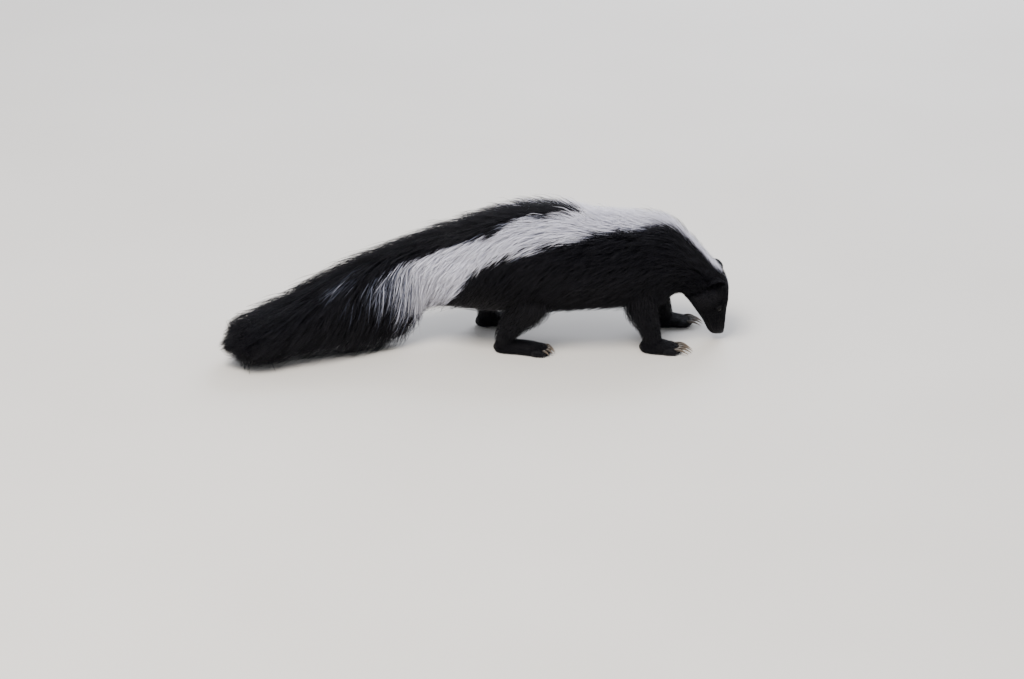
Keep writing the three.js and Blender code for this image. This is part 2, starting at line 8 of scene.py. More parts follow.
import bpy
import numpy as np
from bpy.props import FloatProperty, FloatVectorProperty, IntProperty, PointerProperty
from bpy.types import Operator, Panel, PropertyGroup
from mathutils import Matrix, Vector

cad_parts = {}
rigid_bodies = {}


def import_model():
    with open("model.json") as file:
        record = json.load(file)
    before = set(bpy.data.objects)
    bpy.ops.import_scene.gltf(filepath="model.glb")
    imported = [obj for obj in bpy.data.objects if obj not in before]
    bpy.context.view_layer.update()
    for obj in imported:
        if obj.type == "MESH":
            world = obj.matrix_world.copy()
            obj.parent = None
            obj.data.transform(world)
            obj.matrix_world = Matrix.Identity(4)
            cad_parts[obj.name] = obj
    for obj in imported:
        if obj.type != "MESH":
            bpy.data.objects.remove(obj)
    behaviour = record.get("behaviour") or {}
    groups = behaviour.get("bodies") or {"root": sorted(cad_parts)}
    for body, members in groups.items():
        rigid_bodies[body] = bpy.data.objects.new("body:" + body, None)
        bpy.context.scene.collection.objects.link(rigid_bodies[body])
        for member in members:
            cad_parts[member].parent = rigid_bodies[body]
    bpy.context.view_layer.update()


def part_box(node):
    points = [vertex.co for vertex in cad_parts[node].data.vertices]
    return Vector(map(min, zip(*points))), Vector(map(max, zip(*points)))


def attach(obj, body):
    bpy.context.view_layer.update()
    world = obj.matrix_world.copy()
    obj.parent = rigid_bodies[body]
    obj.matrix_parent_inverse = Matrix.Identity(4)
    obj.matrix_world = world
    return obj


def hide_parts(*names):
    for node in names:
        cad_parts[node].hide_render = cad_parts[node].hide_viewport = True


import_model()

bl_info = {
    "name": "Striped Skunk",
    "version": (1, 0, 0),
    "blender": (4, 5, 0),
    "location": "View3D > Sidebar > Skunk",
    "description": "Builds a life-size striped skunk, its coat and its studio, piece by piece",
    "category": "Object",
}

MM = 0.001
SEED = 20
GOLDEN_SECTION = 0.6180339887

# The spine from the tip of the tail to the nose. Each station is x, y and z, then the half width and the
# heights above and below of the body under its coat, then how far the coat stands out at the side, above
# and below.
SPINE = {
    "tail tip": (-305, -101, 27, 0.5, 0.5, 0.5, 14, 10, 12),
    "tail brush": (-296, -97, 29, 1, 1, 1, 30, 19, 28),
    "tail end": (-275, -88, 34, 2, 2, 2, 39, 25, 34),
    "tail bone end": (-243, -73, 43, 5, 5, 5, 42, 24, 40),
    "tail hind": (-203, -55, 56, 8, 8, 8, 40, 23, 50),
    "tail middle": (-162, -37, 72, 10, 10, 10, 37, 24, 57),
    "tail fore": (-121, -21, 87, 12, 12, 12, 33, 22, 57),
    "tail root": (-84, -8, 99, 15, 14, 14, 28, 19, 50),
    "rump": (-50, -2, 100, 32, 24, 30, 22, 20, 26),
    "hips": (-8, 0, 99, 50, 38, 42, 18, 20, 15),
    "loins": (38, 0, 102, 60, 49, 50, 16, 20, 13),
    "back": (84, 0, 105, 62, 51, 54, 15, 19, 12),
    "ribs": (130, 0, 102, 58, 46, 50, 14, 17, 11),
    "shoulder blades": (170, 0, 102, 53, 44, 47, 13, 17, 11),
    "withers": (200, 0, 104.5, 47, 41, 43, 12, 16, 11),
    "neck base": (221, 0, 103, 42, 37, 37, 11, 14, 10),
    "nape": (235.2, 0, 99.6, 35, 26, 32, 10, 11, 10),
    "upper neck": (248.1, 0, 92.9, 30, 19.5, 29, 9, 9, 9),
    "occiput": (257.6, 0, 84.5, 28, 18.5, 27, 8, 7, 8),
    "ears": (265.4, 0, 73.3, 28, 21.5, 23, 7, 5.5, 7),
    "cheeks": (269.3, 0, 64.3, 28.5, 22, 22, 6, 4.5, 7),
    "brow": (272.1, 0, 52.7, 25.5, 20, 19, 4.5, 3.5, 5),
    "eyes": (274.8, 0, 41, 20, 17, 15.5, 3, 2.5, 3.5),
    "bridge": (277.6, 0, 29.4, 14, 13, 12, 2, 2, 2.5),
    "muzzle": (280.3, 0, 17.7, 10.8, 9.8, 9.5, 1.2, 1.2, 1.5),
    "lip": (281.9, 0, 10.8, 8.8, 8, 7.4, 0.8, 0.8, 0.8),
    "snout": (282.8, 0, 7, 4.5, 4.6, 3.4, 0.3, 0.3, 0.3),
}

# How the hair lies at each station of the spine: its length, the width of one lock, and how many degrees it
# bends down round the side on its way back.
LIE = {
    "tail tip": (30, 0.8, 6),
    "tail brush": (42, 0.85, 8),
    "tail end": (54, 0.9, 12),
    "tail bone end": (66, 0.95, 18),
    "tail hind": (75, 0.98, 26),
    "tail middle": (81, 0.98, 34),
    "tail fore": (84, 0.98, 50),
    "tail root": (84, 0.98, 74),
    "rump": (78, 0.95, 92),
    "hips": (60, 0.9, 66),
    "loins": (46, 0.85, 36),
    "back": (40, 0.8, 22),
    "ribs": (36, 0.78, 16),
    "shoulder blades": (32, 0.76, 13),
    "withers": (29, 0.74, 11),
    "neck base": (26, 0.72, 8),
    "nape": (23, 0.68, 6),
    "upper neck": (19, 0.62, 5),
    "occiput": (14.5, 0.56, 4),
    "ears": (11.5, 0.5, 3),
    "cheeks": (9.5, 0.44, 3),
    "brow": (7.5, 0.4, 2),
    "eyes": (6, 0.35, 2),
    "bridge": (4.8, 0.31, 1),
    "muzzle": (3.4, 0.27, 0),
    "lip": (2.2, 0.24, 0),
    "snout": (1.4, 0.2, 0),
}

# The white markings, alike on both sides. Each row is a length along the spine from the tip of the tail,
# the angles from the middle of the back at which the white starts and ends there, and the share of the
# hairs between them that are white. A start below zero closes the stripe over the back.
WHITE = (
    (0, 60, 120, 0.03),
    (33, 60, 120, 0.04),
    (116, 86, 112, 0.08),
    (163, 97, 124, 0.24),
    (190, 82, 145, 0.36),
    (210, 76, 162, 0.5),
    (235, 70, 172, 0.72),
    (258, 62, 174, 0.93),
    (285, 50, 162, 1),
    (300, 45, 134, 1),
    (311, 43, 104, 1),
    (325, 42, 82, 1),
    (350, 41, 72, 1),
    (358, 36, 70, 1),
    (368, 30, 68, 1),
    (389, 27, 63, 1),
    (419, 22, 56, 1),
    (436, 13, 50, 1),
    (446, 3, 46, 1),
    (453, -20, 42, 1),
    (477, -20, 34, 1),
    (506, -20, 32, 1),
    (520, -20, 30, 1),
    (536, -20, 22, 1),
    (557, -20, 15, 1),
    (571, -20, 12, 1),
    (586, -20, 13, 1),
    (598, -20, 18, 1),
    (605, -20, 14, 1),
    (610, -20, 0, 1),
    (624, -20, 2, 1),
    (634, -20, 5, 1),
    (646, -20, 6, 1),
    (658, -20, 4, 1),
    (668, -20, -6, 1),
    (681, -20, -9, 1),
)
# One pale streak lies on the right side of the tail: its place along the spine and round it, and the share
# of its hairs that are pale.
STREAK = {"s": (134, 168), "angle": (-66, -46), "share": 0.44}
# Where the coat hangs fuller: its middle and half length along the spine, the angle from which it does, and
# how much further it stands out there, as a share of the coat's depth.
FULLER = {
    "rump fringe": (235, 45, 100, 0.36),
    "throat ruff": (578, 20, 105, 1.15),
}

# The legs from the trunk down, about the middle of their own foot, and each paw from its heel to its toe
# roots. Their stations have the same nine values as the spine's.
FORE_LEG = {
    "shoulder": (-16, -15, 96, 17, 22, 22, 9, 9, 9),
    "upper arm": (-17, -6, 72, 15, 19, 20, 8, 8, 8),
    "elbow": (-15, -1, 51, 12, 14, 16, 6, 6, 7),
    "forearm": (-8, 0, 35, 10.5, 11, 12, 4.5, 4, 5),
    "wrist": (-3, 0, 19, 10, 9, 10, 3, 2.5, 3),
    "palm": (-1, 0, 6, 10, 9, 10, 2, 2, 2),
}
HIND_LEG = {
    "hip": (4, -18, 98, 20, 30, 26, 11, 10, 11),
    "thigh": (9, -8, 78, 19, 30, 26, 10, 9, 11),
    "knee": (8, 0, 58, 15, 24, 22, 9, 7, 10),
    "shank": (-4, 1, 39, 11.5, 14, 14, 6, 5, 7),
    "hock": (-15, 1, 22, 9.5, 10, 10, 3.5, 3, 4),
    "heel": (-17, 0, 7, 9, 9, 9, 2, 2, 2),
}
FORE_PAW = {
    "heel end": (-18, 0, 5.5, 0.8, 1, 2.5, 1, 1, 1),
    "heel": (-14.5, 0, 6, 6, 5, 6, 1, 1, 1),
    "pad": (-6, 0, 6.5, 11, 8, 8, 1, 1, 1),
    "sole": (8, 0, 6, 13, 7.5, 8, 1, 1, 1),
    "toe roots": (19, 0, 5, 12, 5, 7, 0.7, 0.7, 0.7),
    "web": (24, 0, 4.5, 8, 2.5, 5, 0.3, 0.3, 0.3),
}
HIND_PAW = {
    "heel end": (-30.5, 0, 5.5, 0.8, 1, 2.5, 1, 1, 1),
    "heel": (-27, 0, 6, 5.5, 5, 6, 1, 1, 1),
    "pad": (-19, 0, 6.5, 9.5, 8, 8, 1, 1, 1),
    "arch": (0, 0, 6.5, 10.5, 8, 8, 1, 1, 1),
    "sole": (15, 0, 6, 12.5, 7, 8, 1, 1, 1),
    "toe roots": (25, 0, 5, 11.5, 5, 7, 0.7, 0.7, 0.7),
    "web": (30, 0, 4.5, 8, 2.5, 5, 0.3, 0.3, 0.3),
}
FORE = {"leg": FORE_LEG, "paw": FORE_PAW, "toes": 24, "claws": 17}
HIND = {"leg": HIND_LEG, "paw": HIND_PAW, "toes": 30, "claws": 9}
# Each foot's kind, the place where it stands and how many degrees it turns to the left.
FEET = {
    "foreleg_right": (FORE, 206, -42, -6),
    "foreleg_left": (FORE, 222, 42, 6),
    "hind_leg_right": (HIND, 46, -45, -10),
    "hind_leg_left": (HIND, 24, 45, 10),
}
PAWS = ("forepaw_right", "forepaw_left", "hind_paw_right", "hind_paw_left")
TOES = {"count": 5, "radius": 4.6, "length": 8.5, "spread": 5.3, "stagger": 1.1}
CLAW = {"radius": 2, "high": 1.3, "rise": 1.6, "arch": 1.6, "hook": 4.3, "splay": 0.06, "sunk": 4}

# The head is measured back from the nose. Its straight axis is the spine's way this far back.
HEAD_AXIS = 25.0
EYE = {"back": 36, "angle": 62, "sunk": 3.0, "set back": 0.5, "mm per degree": 0.33, "clear": 3.3}
# The opening between the lids: half its length and half its height. Then the lids' section from the opening
# outwards: how far it lies from the opening's edge, and how far from the eyeball, all in mm.
LIDS = {"long": 3.1, "high": 2.3}
LID_SECTION = (
    (0, -0.4),
    (0, 0.05),
    (0.05, 0.22),
    (0.2, 0.36),
    (0.45, 0.4),
    (0.8, 0.28),
    (1.2, 0),
    (1.8, -0.8),
)
MOUTH = {"angle": 121, "corner": 33, "groove": 2.2, "lip": 0.9}
# How far the skin draws in at the very end of the snout, and over what length it does.
SNOUT = {"deep": 1.6, "long": 1.4}
NOSE = {"back": 3.6, "up": 3.2, "side": 6.2, "high": 5.0, "long": 5.6}
NOSTRIL = {"side": 2.9, "up": -0.4, "radius": 1.5, "deep": 2.2}
EAR = {"back": 66, "angle": 60, "wide": 10.5, "tall": 11, "deep": 5.5, "lean": 36, "stand": 3.2}


def unit(v):
    """Vectors divided by their own length."""
    return v / np.maximum(np.linalg.norm(v, axis=-1, keepdims=True), 1e-9)


def hill(x, middle, width):
    """A round hill of height 1 at middle: e to the minus square of the distance over the width."""
    return np.exp(-(((x - middle) / width) ** 2))


def smooth(x, low, high):
    """0 below low, 1 above high, and 3tt - 2ttt between them, t being the share of the way."""
    t = np.clip((x - low) / (high - low), 0, 1)
    return t * t * (3 - 2 * t)


class Track:
    """A limb or trunk along its stations.

    s is the length along the straight steps between stations. Between two stations each value is the cubic
    whose ends have the stations' values and the slopes of the chords between their neighbours.
    """

    def __init__(self, stations):
        self.rows = np.array(list(stations.values()), float)
        steps = np.linalg.norm(np.diff(self.rows[:, :3], axis=0), axis=1)
        self.knots = np.concatenate([[0], np.cumsum(steps)])
        before = np.maximum(np.arange(len(self.knots)) - 1, 0)
        after = np.minimum(np.arange(len(self.knots)) + 1, len(self.knots) - 1)
        rise = self.rows[after] - self.rows[before]
        self.slopes = rise / (self.knots[after] - self.knots[before])[:, None]
        self.length = self.knots[-1]
        self.at = dict(zip(stations, self.knots))

    def values(self, s):
        """All nine values at s."""
        j = np.clip(np.searchsorted(self.knots, s, "right") - 1, 0, len(self.knots) - 2)
        h = (self.knots[j + 1] - self.knots[j])[..., None]
        t = np.clip((s[..., None] - self.knots[j][..., None]) / h, 0, 1)
        u = 1 - t
        ends = self.rows[j] * u * u * (1 + 2 * t) + self.rows[j + 1] * t * t * (3 - 2 * t)
        return ends + h * t * u * (self.slopes[j] * u - self.slopes[j + 1] * t)

    def frame(self, s):
        """The unit vectors along the track, to the left and to the top at s."""
        ahead = self.values(np.minimum(s + 0.5, self.length))[..., :3]
        along = unit(ahead - self.values(np.maximum(s - 0.5, 0))[..., :3])
        left = unit(np.array([0, 1, 0]) - along * along[..., 1:2])
        return along, left, np.cross(along, left)

    def point(self, s, angle, fur, extra=0.0):
        """The surface at s and angle, in degrees round from the top to the left.

        It is the centre plus left times half width times sine, plus top times height times cosine. fur goes
        from 0 at the skin to 1 at the coat's tips, and extra is mm beyond.
        """
        s, angle, fur, extra = np.broadcast_arrays(*(np.asarray(v, float) for v in (s, angle, fur, extra)))
        v = self.values(s)
        left, top = self.frame(s)[1:]
        sine, cosine = np.sin(np.radians(angle)), np.cos(np.radians(angle))
        above = cosine > 0
        wide = v[..., 3] + fur * v[..., 6] + extra
        high = np.where(above, v[..., 4], v[..., 5]) + fur * np.where(above, v[..., 7], v[..., 8]) + extra
        return v[..., :3] + left * (wide * sine)[..., None] + top * (high * cosine)[..., None]


spine = Track(SPINE)
NOSE_TIP = spine.length
# The tail's skin starts here, well inside the brush.
BONE_END = 24


def along_spine(rows, s):
    """The columns of rows that each start with their s, straight between the rows, at s."""
    knots, *columns = zip(*rows)
    return [np.interp(s, knots, column) for column in columns]


LIE_ROWS = [(spine.at[name], *row) for name, row in LIE.items()]


def from_eye(s, angle):
    """How far a place of the face lies from the nearer eye's middle, in mm, and that way's parts along the
    spine and round it."""
    back = s - (NOSE_TIP - EYE["back"])
    down = (np.abs(angle) - EYE["angle"]) * EYE["mm per degree"]
    return np.hypot(back, down), back, down


def relief(s, angle):
    """How far the face stands out or in: hills for brow, cheeks, whisker pads and chin and a low wall round
    each eye, less the eye sockets and the groove of the mouth between its lips."""
    d = NOSE_TIP - s
    turn = np.abs(angle)
    brow = 1.8 * hill(d, EYE["back"] + 6, 6) * hill(turn, 36, 20)
    socket = -1.4 * hill(d, EYE["back"], 6) * hill(turn, EYE["angle"] + 4, 17)
    cheek = 2.0 * hill(d, EYE["back"] + 19, 13) * hill(turn, 96, 32)
    pad = 1.0 * hill(d, 12, 7) * hill(turn, 100, 26)
    chin = 0.6 * hill(d, 8, 6) * hill(turn, 180, 40)
    opened = smooth(d, 3, 7) * (1 - smooth(d, MOUTH["corner"] - 4, MOUTH["corner"] + 3))
    lips = MOUTH["lip"] * hill(turn, MOUTH["angle"], 14) - MOUTH["groove"] * hill(turn, MOUTH["angle"], 4)
    wall = 1.3 * hill(from_eye(s, angle)[0], 5.2, 2.0)
    return np.where(d > 90, 0, brow + socket + cheek + pad + chin + wall + opened * lips)


def skin_level(s, angle):
    """The share of the coat's depth at which the skin lies: 0 on the body, and near 1 where the fur is
    shortest, round the eyes, along the lips and at the nose."""
    d = NOSE_TIP - s
    turn = np.abs(angle)
    eyes = 0.75 * hill(d, EYE["back"], 8) * hill(turn, EYE["angle"], 24)
    lips = 0.6 * (1 - smooth(d, 24, 40)) * hill(turn, MOUTH["angle"], 16)
    muzzle = 0.8 * (1 - smooth(d, 6, 22))
    return np.maximum(np.maximum(eyes, lips), muzzle)


def body_skin(s, angle, extra=0.0):
    """The skin of the body, neck, head and tail, rounded off at the snout's end by half a hill."""
    beyond = relief(s, angle) + extra - SNOUT["deep"] * hill(s, NOSE_TIP, SNOUT["long"])
    return spine.point(s, angle, skin_level(s, angle), beyond)


def shift_to_part():
    """The step from the animal's frame to the part's, in mm: the eyes give it along and across, and the floor
    is the same in both."""
    boxes = [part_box(name) for name in ("eye_left", "eye_right")]
    middle = np.mean([(np.array(low) + np.array(high)) / 2 for low, high in boxes], axis=0) / MM
    centre, _, _ = eye_place(1)
    return np.array([middle[0] - centre[0], middle[1], 0.0])


def eye_place(sign):
    """An eye's centre, the way it looks, and the way towards the nose along the lids.

    The way out is the cross product of two small steps on the coat, and the centre lies sunk below the coat.
    """

    def face(back, turn):
        s, angle = NOSE_TIP - EYE["back"] - back, sign * EYE["angle"] + turn
        return spine.point(s, angle, 1, relief(s, angle))

    out = unit(np.cross(face(-3, 0) - face(3, 0), face(0, 5) - face(0, -5)))
    nose_ward = head_axes()[0]
    across = unit(nose_ward - out * np.dot(nose_ward, out))
    return face(0, 0) - out * EYE["sunk"], out, across


def head_axes():
    """The head's unit vectors towards the nose, the left and the forehead, and the tip of its axis."""
    s = np.array(NOSE_TIP - HEAD_AXIS)
    along, left, top = spine.frame(s)
    return along, left, top, spine.values(s)[:3] + along * HEAD_AXIS


SHIFT = shift_to_part()
EYE_RADIUS = (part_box("eye_left")[1].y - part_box("eye_left")[0].y) / 2


def linear(code):
    """A colour written as sRGB hex, as linear red, green, blue and alpha 1."""
    channels = np.array([int(code[i : i + 2], 16) for i in (1, 3, 5)]) / 255
    low, high = channels / 12.92, ((channels + 0.055) / 1.055) ** 2.4
    return (*np.where(channels > 0.04045, high, low), 1.0)


class SkunkCoat(PropertyGroup):
    """The hair and its colours."""

    length: FloatProperty(
        name="Length", description="Hair length, as a share of the natural one",
        default=1.0, min=0.3, max=1.5,
    )
    density: FloatProperty(
        name="Density", description="Number of locks, as a share of the full coat",
        default=1.0, min=0.05, max=1.2,
    )
    pull: FloatProperty(
        name="Clumping", description="How far hairs are drawn to their tuft's middle",
        default=0.45, min=0, max=1,
    )
    black: FloatVectorProperty(
        name="Black", description="Colour of black guard hair", subtype="COLOR",
        default=linear("#0A0A10")[:3], min=0, max=1,
    )
    white: FloatVectorProperty(
        name="White", description="Colour of white guard hair", subtype="COLOR",
        default=linear("#F3F2F9")[:3], min=0, max=1,
    )


class SkunkFace(PropertyGroup):
    """The sizes of the eyes and whiskers."""

    eye_radius: FloatProperty(
        name="Eye radius", description="Radius of an eyeball",
        default=EYE_RADIUS, unit="LENGTH", precision=4,
    )
    whiskers: IntProperty(
        name="Whiskers", description="Whiskers on each side", default=9, min=0, max=30
    )
    whisker_length: FloatProperty(
        name="Whisker length", description="Length of the longest whisker", default=0.034, unit="LENGTH"
    )


class SkunkStage(PropertyGroup):
    """The studio."""

    distance: FloatProperty(
        name="Distance", description="From the camera to the animal", default=4.628, unit="LENGTH"
    )
    elevation: FloatProperty(
        name="Elevation", description="Height angle of the camera",
        default=np.radians(22.0), subtype="ANGLE",
    )
    view_width: FloatProperty(
        name="View width", description="Width that the picture takes in", default=1.2186, unit="LENGTH"
    )
    key_power: FloatProperty(
        name="Key light", description="Power of the large light above", default=150.0, unit="POWER"
    )
    sky: FloatProperty(
        name="Sky", description="Strength of the even light around", default=1.1, min=0, max=5
    )


def node(tree, kind, inputs=(), **settings):
    """Adds a node with its settings, and fills its inputs with links or values."""
    made = tree.nodes.new(kind)
    for name, value in settings.items():
        setattr(made, name, value)
    for key, value in dict(inputs).items():
        if isinstance(value, bpy.types.NodeSocket):
            tree.links.new(value, made.inputs[key])
        else:
            made.inputs[key].default_value = value
    return made


def new_material(name):
    """An empty node material and its node tree."""
    material = bpy.data.materials.new(name)
    material.use_nodes = True
    material.node_tree.nodes.clear()
    return material, material.node_tree


def mixed(tree, factor, a, b):
    """The colour between a and b at factor."""
    inputs = {0: factor, 6: a, 7: b}
    return node(tree, "ShaderNodeMix", inputs, data_type="RGBA").outputs[2]


def attribute(tree, name, output="Fac"):
    """One of the mesh's own attributes."""
    return node(tree, "ShaderNodeAttribute", attribute_name=name).outputs[output]


def object_place(tree):
    """Each place in the object's own coordinates, in metres."""
    return node(tree, "ShaderNodeTexCoord").outputs["Object"]


def noise(tree, place, scale, detail=2.0):
    """Soft noise from 0 to 1, with its scale in blotches to each unit of the place."""
    inputs = {"Vector": place, "Scale": scale, "Detail": detail}
    return node(tree, "ShaderNodeTexNoise", inputs).outputs[0]


def finish_with(tree, settings, height=None, distance=0.0, strength=0.0):
    """Makes the surface from its settings and sends it to the output. Where a height is given, it bumps the
    surface by that times the distance in metres."""
    shader = node(tree, "ShaderNodeBsdfPrincipled", settings)
    if height is not None:
        bump = node(tree, "ShaderNodeBump", {"Height": height, "Distance": distance, "Strength": strength})
        tree.links.new(bump.outputs[0], shader.inputs["Normal"])
    node(tree, "ShaderNodeOutputMaterial", {"Surface": shader.outputs[0]})


def guard_hair():
    """Guard hair, grown: a smooth keratin shaft whose long highlight shows the lie of the coat. Black hairs
    have a cool cast. Black and white hairs alike are painted darker towards their roots, as painted shade
    where the coat shades itself, so white ones are greyer there."""
    material, tree = new_material("guard_hair")
    coat = bpy.context.scene.skunk_coat
    tip, tone, white = attribute(tree, "tip"), attribute(tree, "tone"), attribute(tree, "white")
    black = mixed(tree, tone, (*coat.black, 1), linear("#13121A"))
    # Black hairs are painted darker at their roots: painted shade where the coat shades itself.
    black = mixed(tree, tip, linear("#050508"), black)
    pale = mixed(tree, tone, linear("#E2E2EE"), (*coat.white, 1))
    # White hairs are painted greyer at their roots: painted shade where the coat shades itself.
    pale = mixed(tree, tip, linear("#B4B4C6"), pale)
    # Where black and white mix, the pale hairs are thin and look grey over the dark, and their blue cast is
    # painted shade: the cool colour that white hair takes in shade.
    pale = mixed(tree, white, linear("#8793B4"), pale)
    colour = mixed(tree, white, black, pale)
    settings = {"Base Color": colour, "Roughness": 0.45, "IOR": 1.5, "Specular IOR Level": 0.18}
    finish_with(tree, settings)
    return material


def furred_skin():
    """Skin under short fur, and bare on the soles: fine strokes along the hair's lie, which show as a matt
    nap between the tufts, with the coat's own black and white."""
    material, tree = new_material("furred_skin")
    nap = noise(tree, attribute(tree, "lie", "Vector"), 1.0, 3.0)
    # The nap's strokes are painted darker where they lie low: the hairs' own tone, together with painted
    # shade between the strokes.
    black = mixed(tree, nap, linear("#060608"), linear("#131218"))
    pale = mixed(tree, nap, linear("#8F8F9E"), linear("#DCDCE6"))
    colour = mixed(tree, attribute(tree, "white"), black, pale)
    # Leather grain of 0.9 mm on the bare soles and toe pads.
    grain = node(tree, "ShaderNodeTexVoronoi", {"Vector": object_place(tree), "Scale": 1100.0})
    leather = mixed(tree, grain.outputs[0], linear("#2A2426"), linear("#151314"))
    colour = mixed(tree, attribute(tree, "bare"), colour, leather)
    settings = {"Base Color": colour, "Roughness": 0.62, "Specular IOR Level": 0.2}
    finish_with(tree, settings, nap, 0.0006, 0.6)
    return material


def nose_leather():
    """Nose leather, grown: black, damp and pebbled, each pebble about 0.6 mm wide."""
    material, tree = new_material("nose_leather")
    inputs = {"Vector": object_place(tree), "Scale": 1700.0}
    pebbles = node(tree, "ShaderNodeTexVoronoi", inputs, feature="SMOOTH_F1").outputs[0]
    # The deep lines between the pebbles are painted darker than the pebbles: painted shade in the recesses.
    colour = mixed(tree, pebbles, linear("#1A1718"), linear("#030303"))
    settings = {"Base Color": colour, "Roughness": 0.34, "Specular IOR Level": 0.22}
    # Pebbles stand out and the lines between them lie deep, so the height counts downwards.
    finish_with(tree, settings, pebbles, -0.0004, 1.0)
    return material


def claw_horn():
    """Horn, grown in fibres along the claw: dark grey-brown, paler and worn smooth towards the tip."""
    material, tree = new_material("claw_horn")
    # Fibres 0.3 mm apart across the claw and 3 mm long.
    inputs = {"Vector": object_place(tree), "Scale": (300, 3000, 3000)}
    fibres = noise(tree, node(tree, "ShaderNodeMapping", inputs).outputs[0], 1.0)
    dark = mixed(tree, fibres, linear("#231E19"), linear("#3B332A"))
    colour = mixed(tree, attribute(tree, "tip"), dark, linear("#75685A"))
    finish_with(tree, {"Base Color": colour, "Roughness": 0.36}, fibres, 0.0001, 0.4)
    return material


def wet_eye():
    """A living eye: a nearly black iris under a clear wet cornea, which gives one sharp highlight."""
    material, tree = new_material("wet_eye")
    colour = mixed(tree, attribute(tree, "pupil"), linear("#080504"), linear("#010101"))
    settings = {"Base Color": colour, "Roughness": 0.04, "IOR": 1.38, "Specular IOR Level": 0.16}
    finish_with(tree, settings)
    return material


def bare_lid():
    """Bare black skin of the lids: finely creased and slightly moist, with a soft highlight."""
    material, tree = new_material("bare_lid")
    # Creases 0.7 mm apart, painted darker where they lie low: painted shade in the creases.
    creases = noise(tree, object_place(tree), 1400.0, 3.0)
    colour = mixed(tree, creases, linear("#060606"), linear("#151314"))
    settings = {"Base Color": colour, "Roughness": 0.5, "Specular IOR Level": 0.12}
    finish_with(tree, settings, creases, 0.0002, 0.4)
    return material


def build_mesh(name, points, quads, tris, attributes=(), uv=None, material=None):
    """A piece in the part's frame from points in mm, four- and three-cornered faces, and point attributes.

    uv holds one pair for each corner, the quads' first.
    """
    mesh = bpy.data.meshes.new(name)
    mesh.vertices.add(len(points))
    mesh.vertices.foreach_set("co", ((points + SHIFT) * MM).astype(np.float32).ravel())
    corners = np.concatenate([quads.ravel(), tris.ravel()]).astype(np.int32)
    starts = np.concatenate([np.arange(len(quads)) * 4, len(quads) * 4 + np.arange(len(tris)) * 3])
    mesh.loops.add(len(corners))
    mesh.loops.foreach_set("vertex_index", corners)
    mesh.polygons.add(len(starts))
    mesh.polygons.foreach_set("loop_start", starts.astype(np.int32))
    mesh.polygons.foreach_set("use_smooth", np.ones(len(starts), bool))
    if uv is not None:
        layer = mesh.uv_layers.new(name="OFBake")
        layer.data.foreach_set("uv", uv.astype(np.float32).ravel())
    for label, values in dict(attributes).items():
        set_attribute(mesh, label, values)
    mesh.update(calc_edges=True)
    if material is not None:
        mesh.materials.append(material)
    made = bpy.data.objects.new(name, mesh)
    bpy.context.scene.collection.objects.link(made)
    return made


def set_attribute(mesh, label, values):
    """Writes a number or a vector for each point of a mesh."""
    vector = values.ndim == 2
    layer = mesh.attributes.new(label, "FLOAT_VECTOR" if vector else "FLOAT", "POINT")
    layer.data.foreach_set("vector" if vector else "value", values.astype(np.float32).ravel())


def shell(rings):
    """A closed surface over rings of points: quads from ring to ring, and a fan to the middle of each end.

    The rings run round the way ahead like a right-hand screw, so the faces look outwards.
    """
    count, round_ = rings.shape[:2]
    points = np.concatenate([rings.reshape(-1, 3), rings[0].mean(0)[None], rings[-1].mean(0)[None]])
    i = np.arange(round_)
    j = (i + 1) % round_
    r = np.arange(count - 1)[:, None] * round_
    quads = np.stack([r + i, r + j, r + j + round_, r + i + round_], -1).reshape(-1, 4)
    last = (count - 1) * round_
    first_fan = np.stack([np.full(round_, count * round_), j, i], -1)
    last_fan = np.stack([np.full(round_, count * round_ + 1), last + i, last + j], -1)
    return points, quads, np.concatenate([first_fan, last_fan])


def several(shells):
    """Closed surfaces put together as one list of points and faces."""
    offsets = np.cumsum([0] + [len(points) for points, _, _ in shells])
    points = np.concatenate([p for p, _, _ in shells])
    quads = np.concatenate([q + o for (_, q, _), o in zip(shells, offsets)])
    tris = np.concatenate([t + o for (_, _, t), o in zip(shells, offsets)])
    return points, quads, tris


def ball(rows, round_):
    """A unit ball as rings from its -x pole to its +x pole. x is minus the cosine of the angle from the first
    pole, and the rings' radius is its sine."""
    lat = np.linspace(0.02, np.pi - 0.02, rows)[:, None]
    lon = -np.linspace(0, 2 * np.pi, round_, endpoint=False)[None]
    return np.stack([-np.cos(lat) + 0 * lon, np.sin(lat) * np.sin(lon), np.sin(lat) * np.cos(lon)], -1)


def placed(points, origin, x, y, z):
    """Points in a frame of three axes at an origin, as points of the animal."""
    return origin + points @ np.stack([x, y, z])


def foot_place(points, foot):
    """Points of a foot turned about the upright and set where it stands."""
    _, x, y, turn = FEET[foot]
    c, s = np.cos(np.radians(turn)), np.sin(np.radians(turn))
    return points @ np.array([[c, s, 0], [-s, c, 0], [0, 0, 1]]) + np.array([x, y, 0])


def leg_track(foot):
    """A leg's track, mirrored for the left side."""
    kind, _, y, _ = FEET[foot]
    return Track({at: (row[0], row[1] * np.sign(y), *row[2:]) for at, row in kind["leg"].items()})


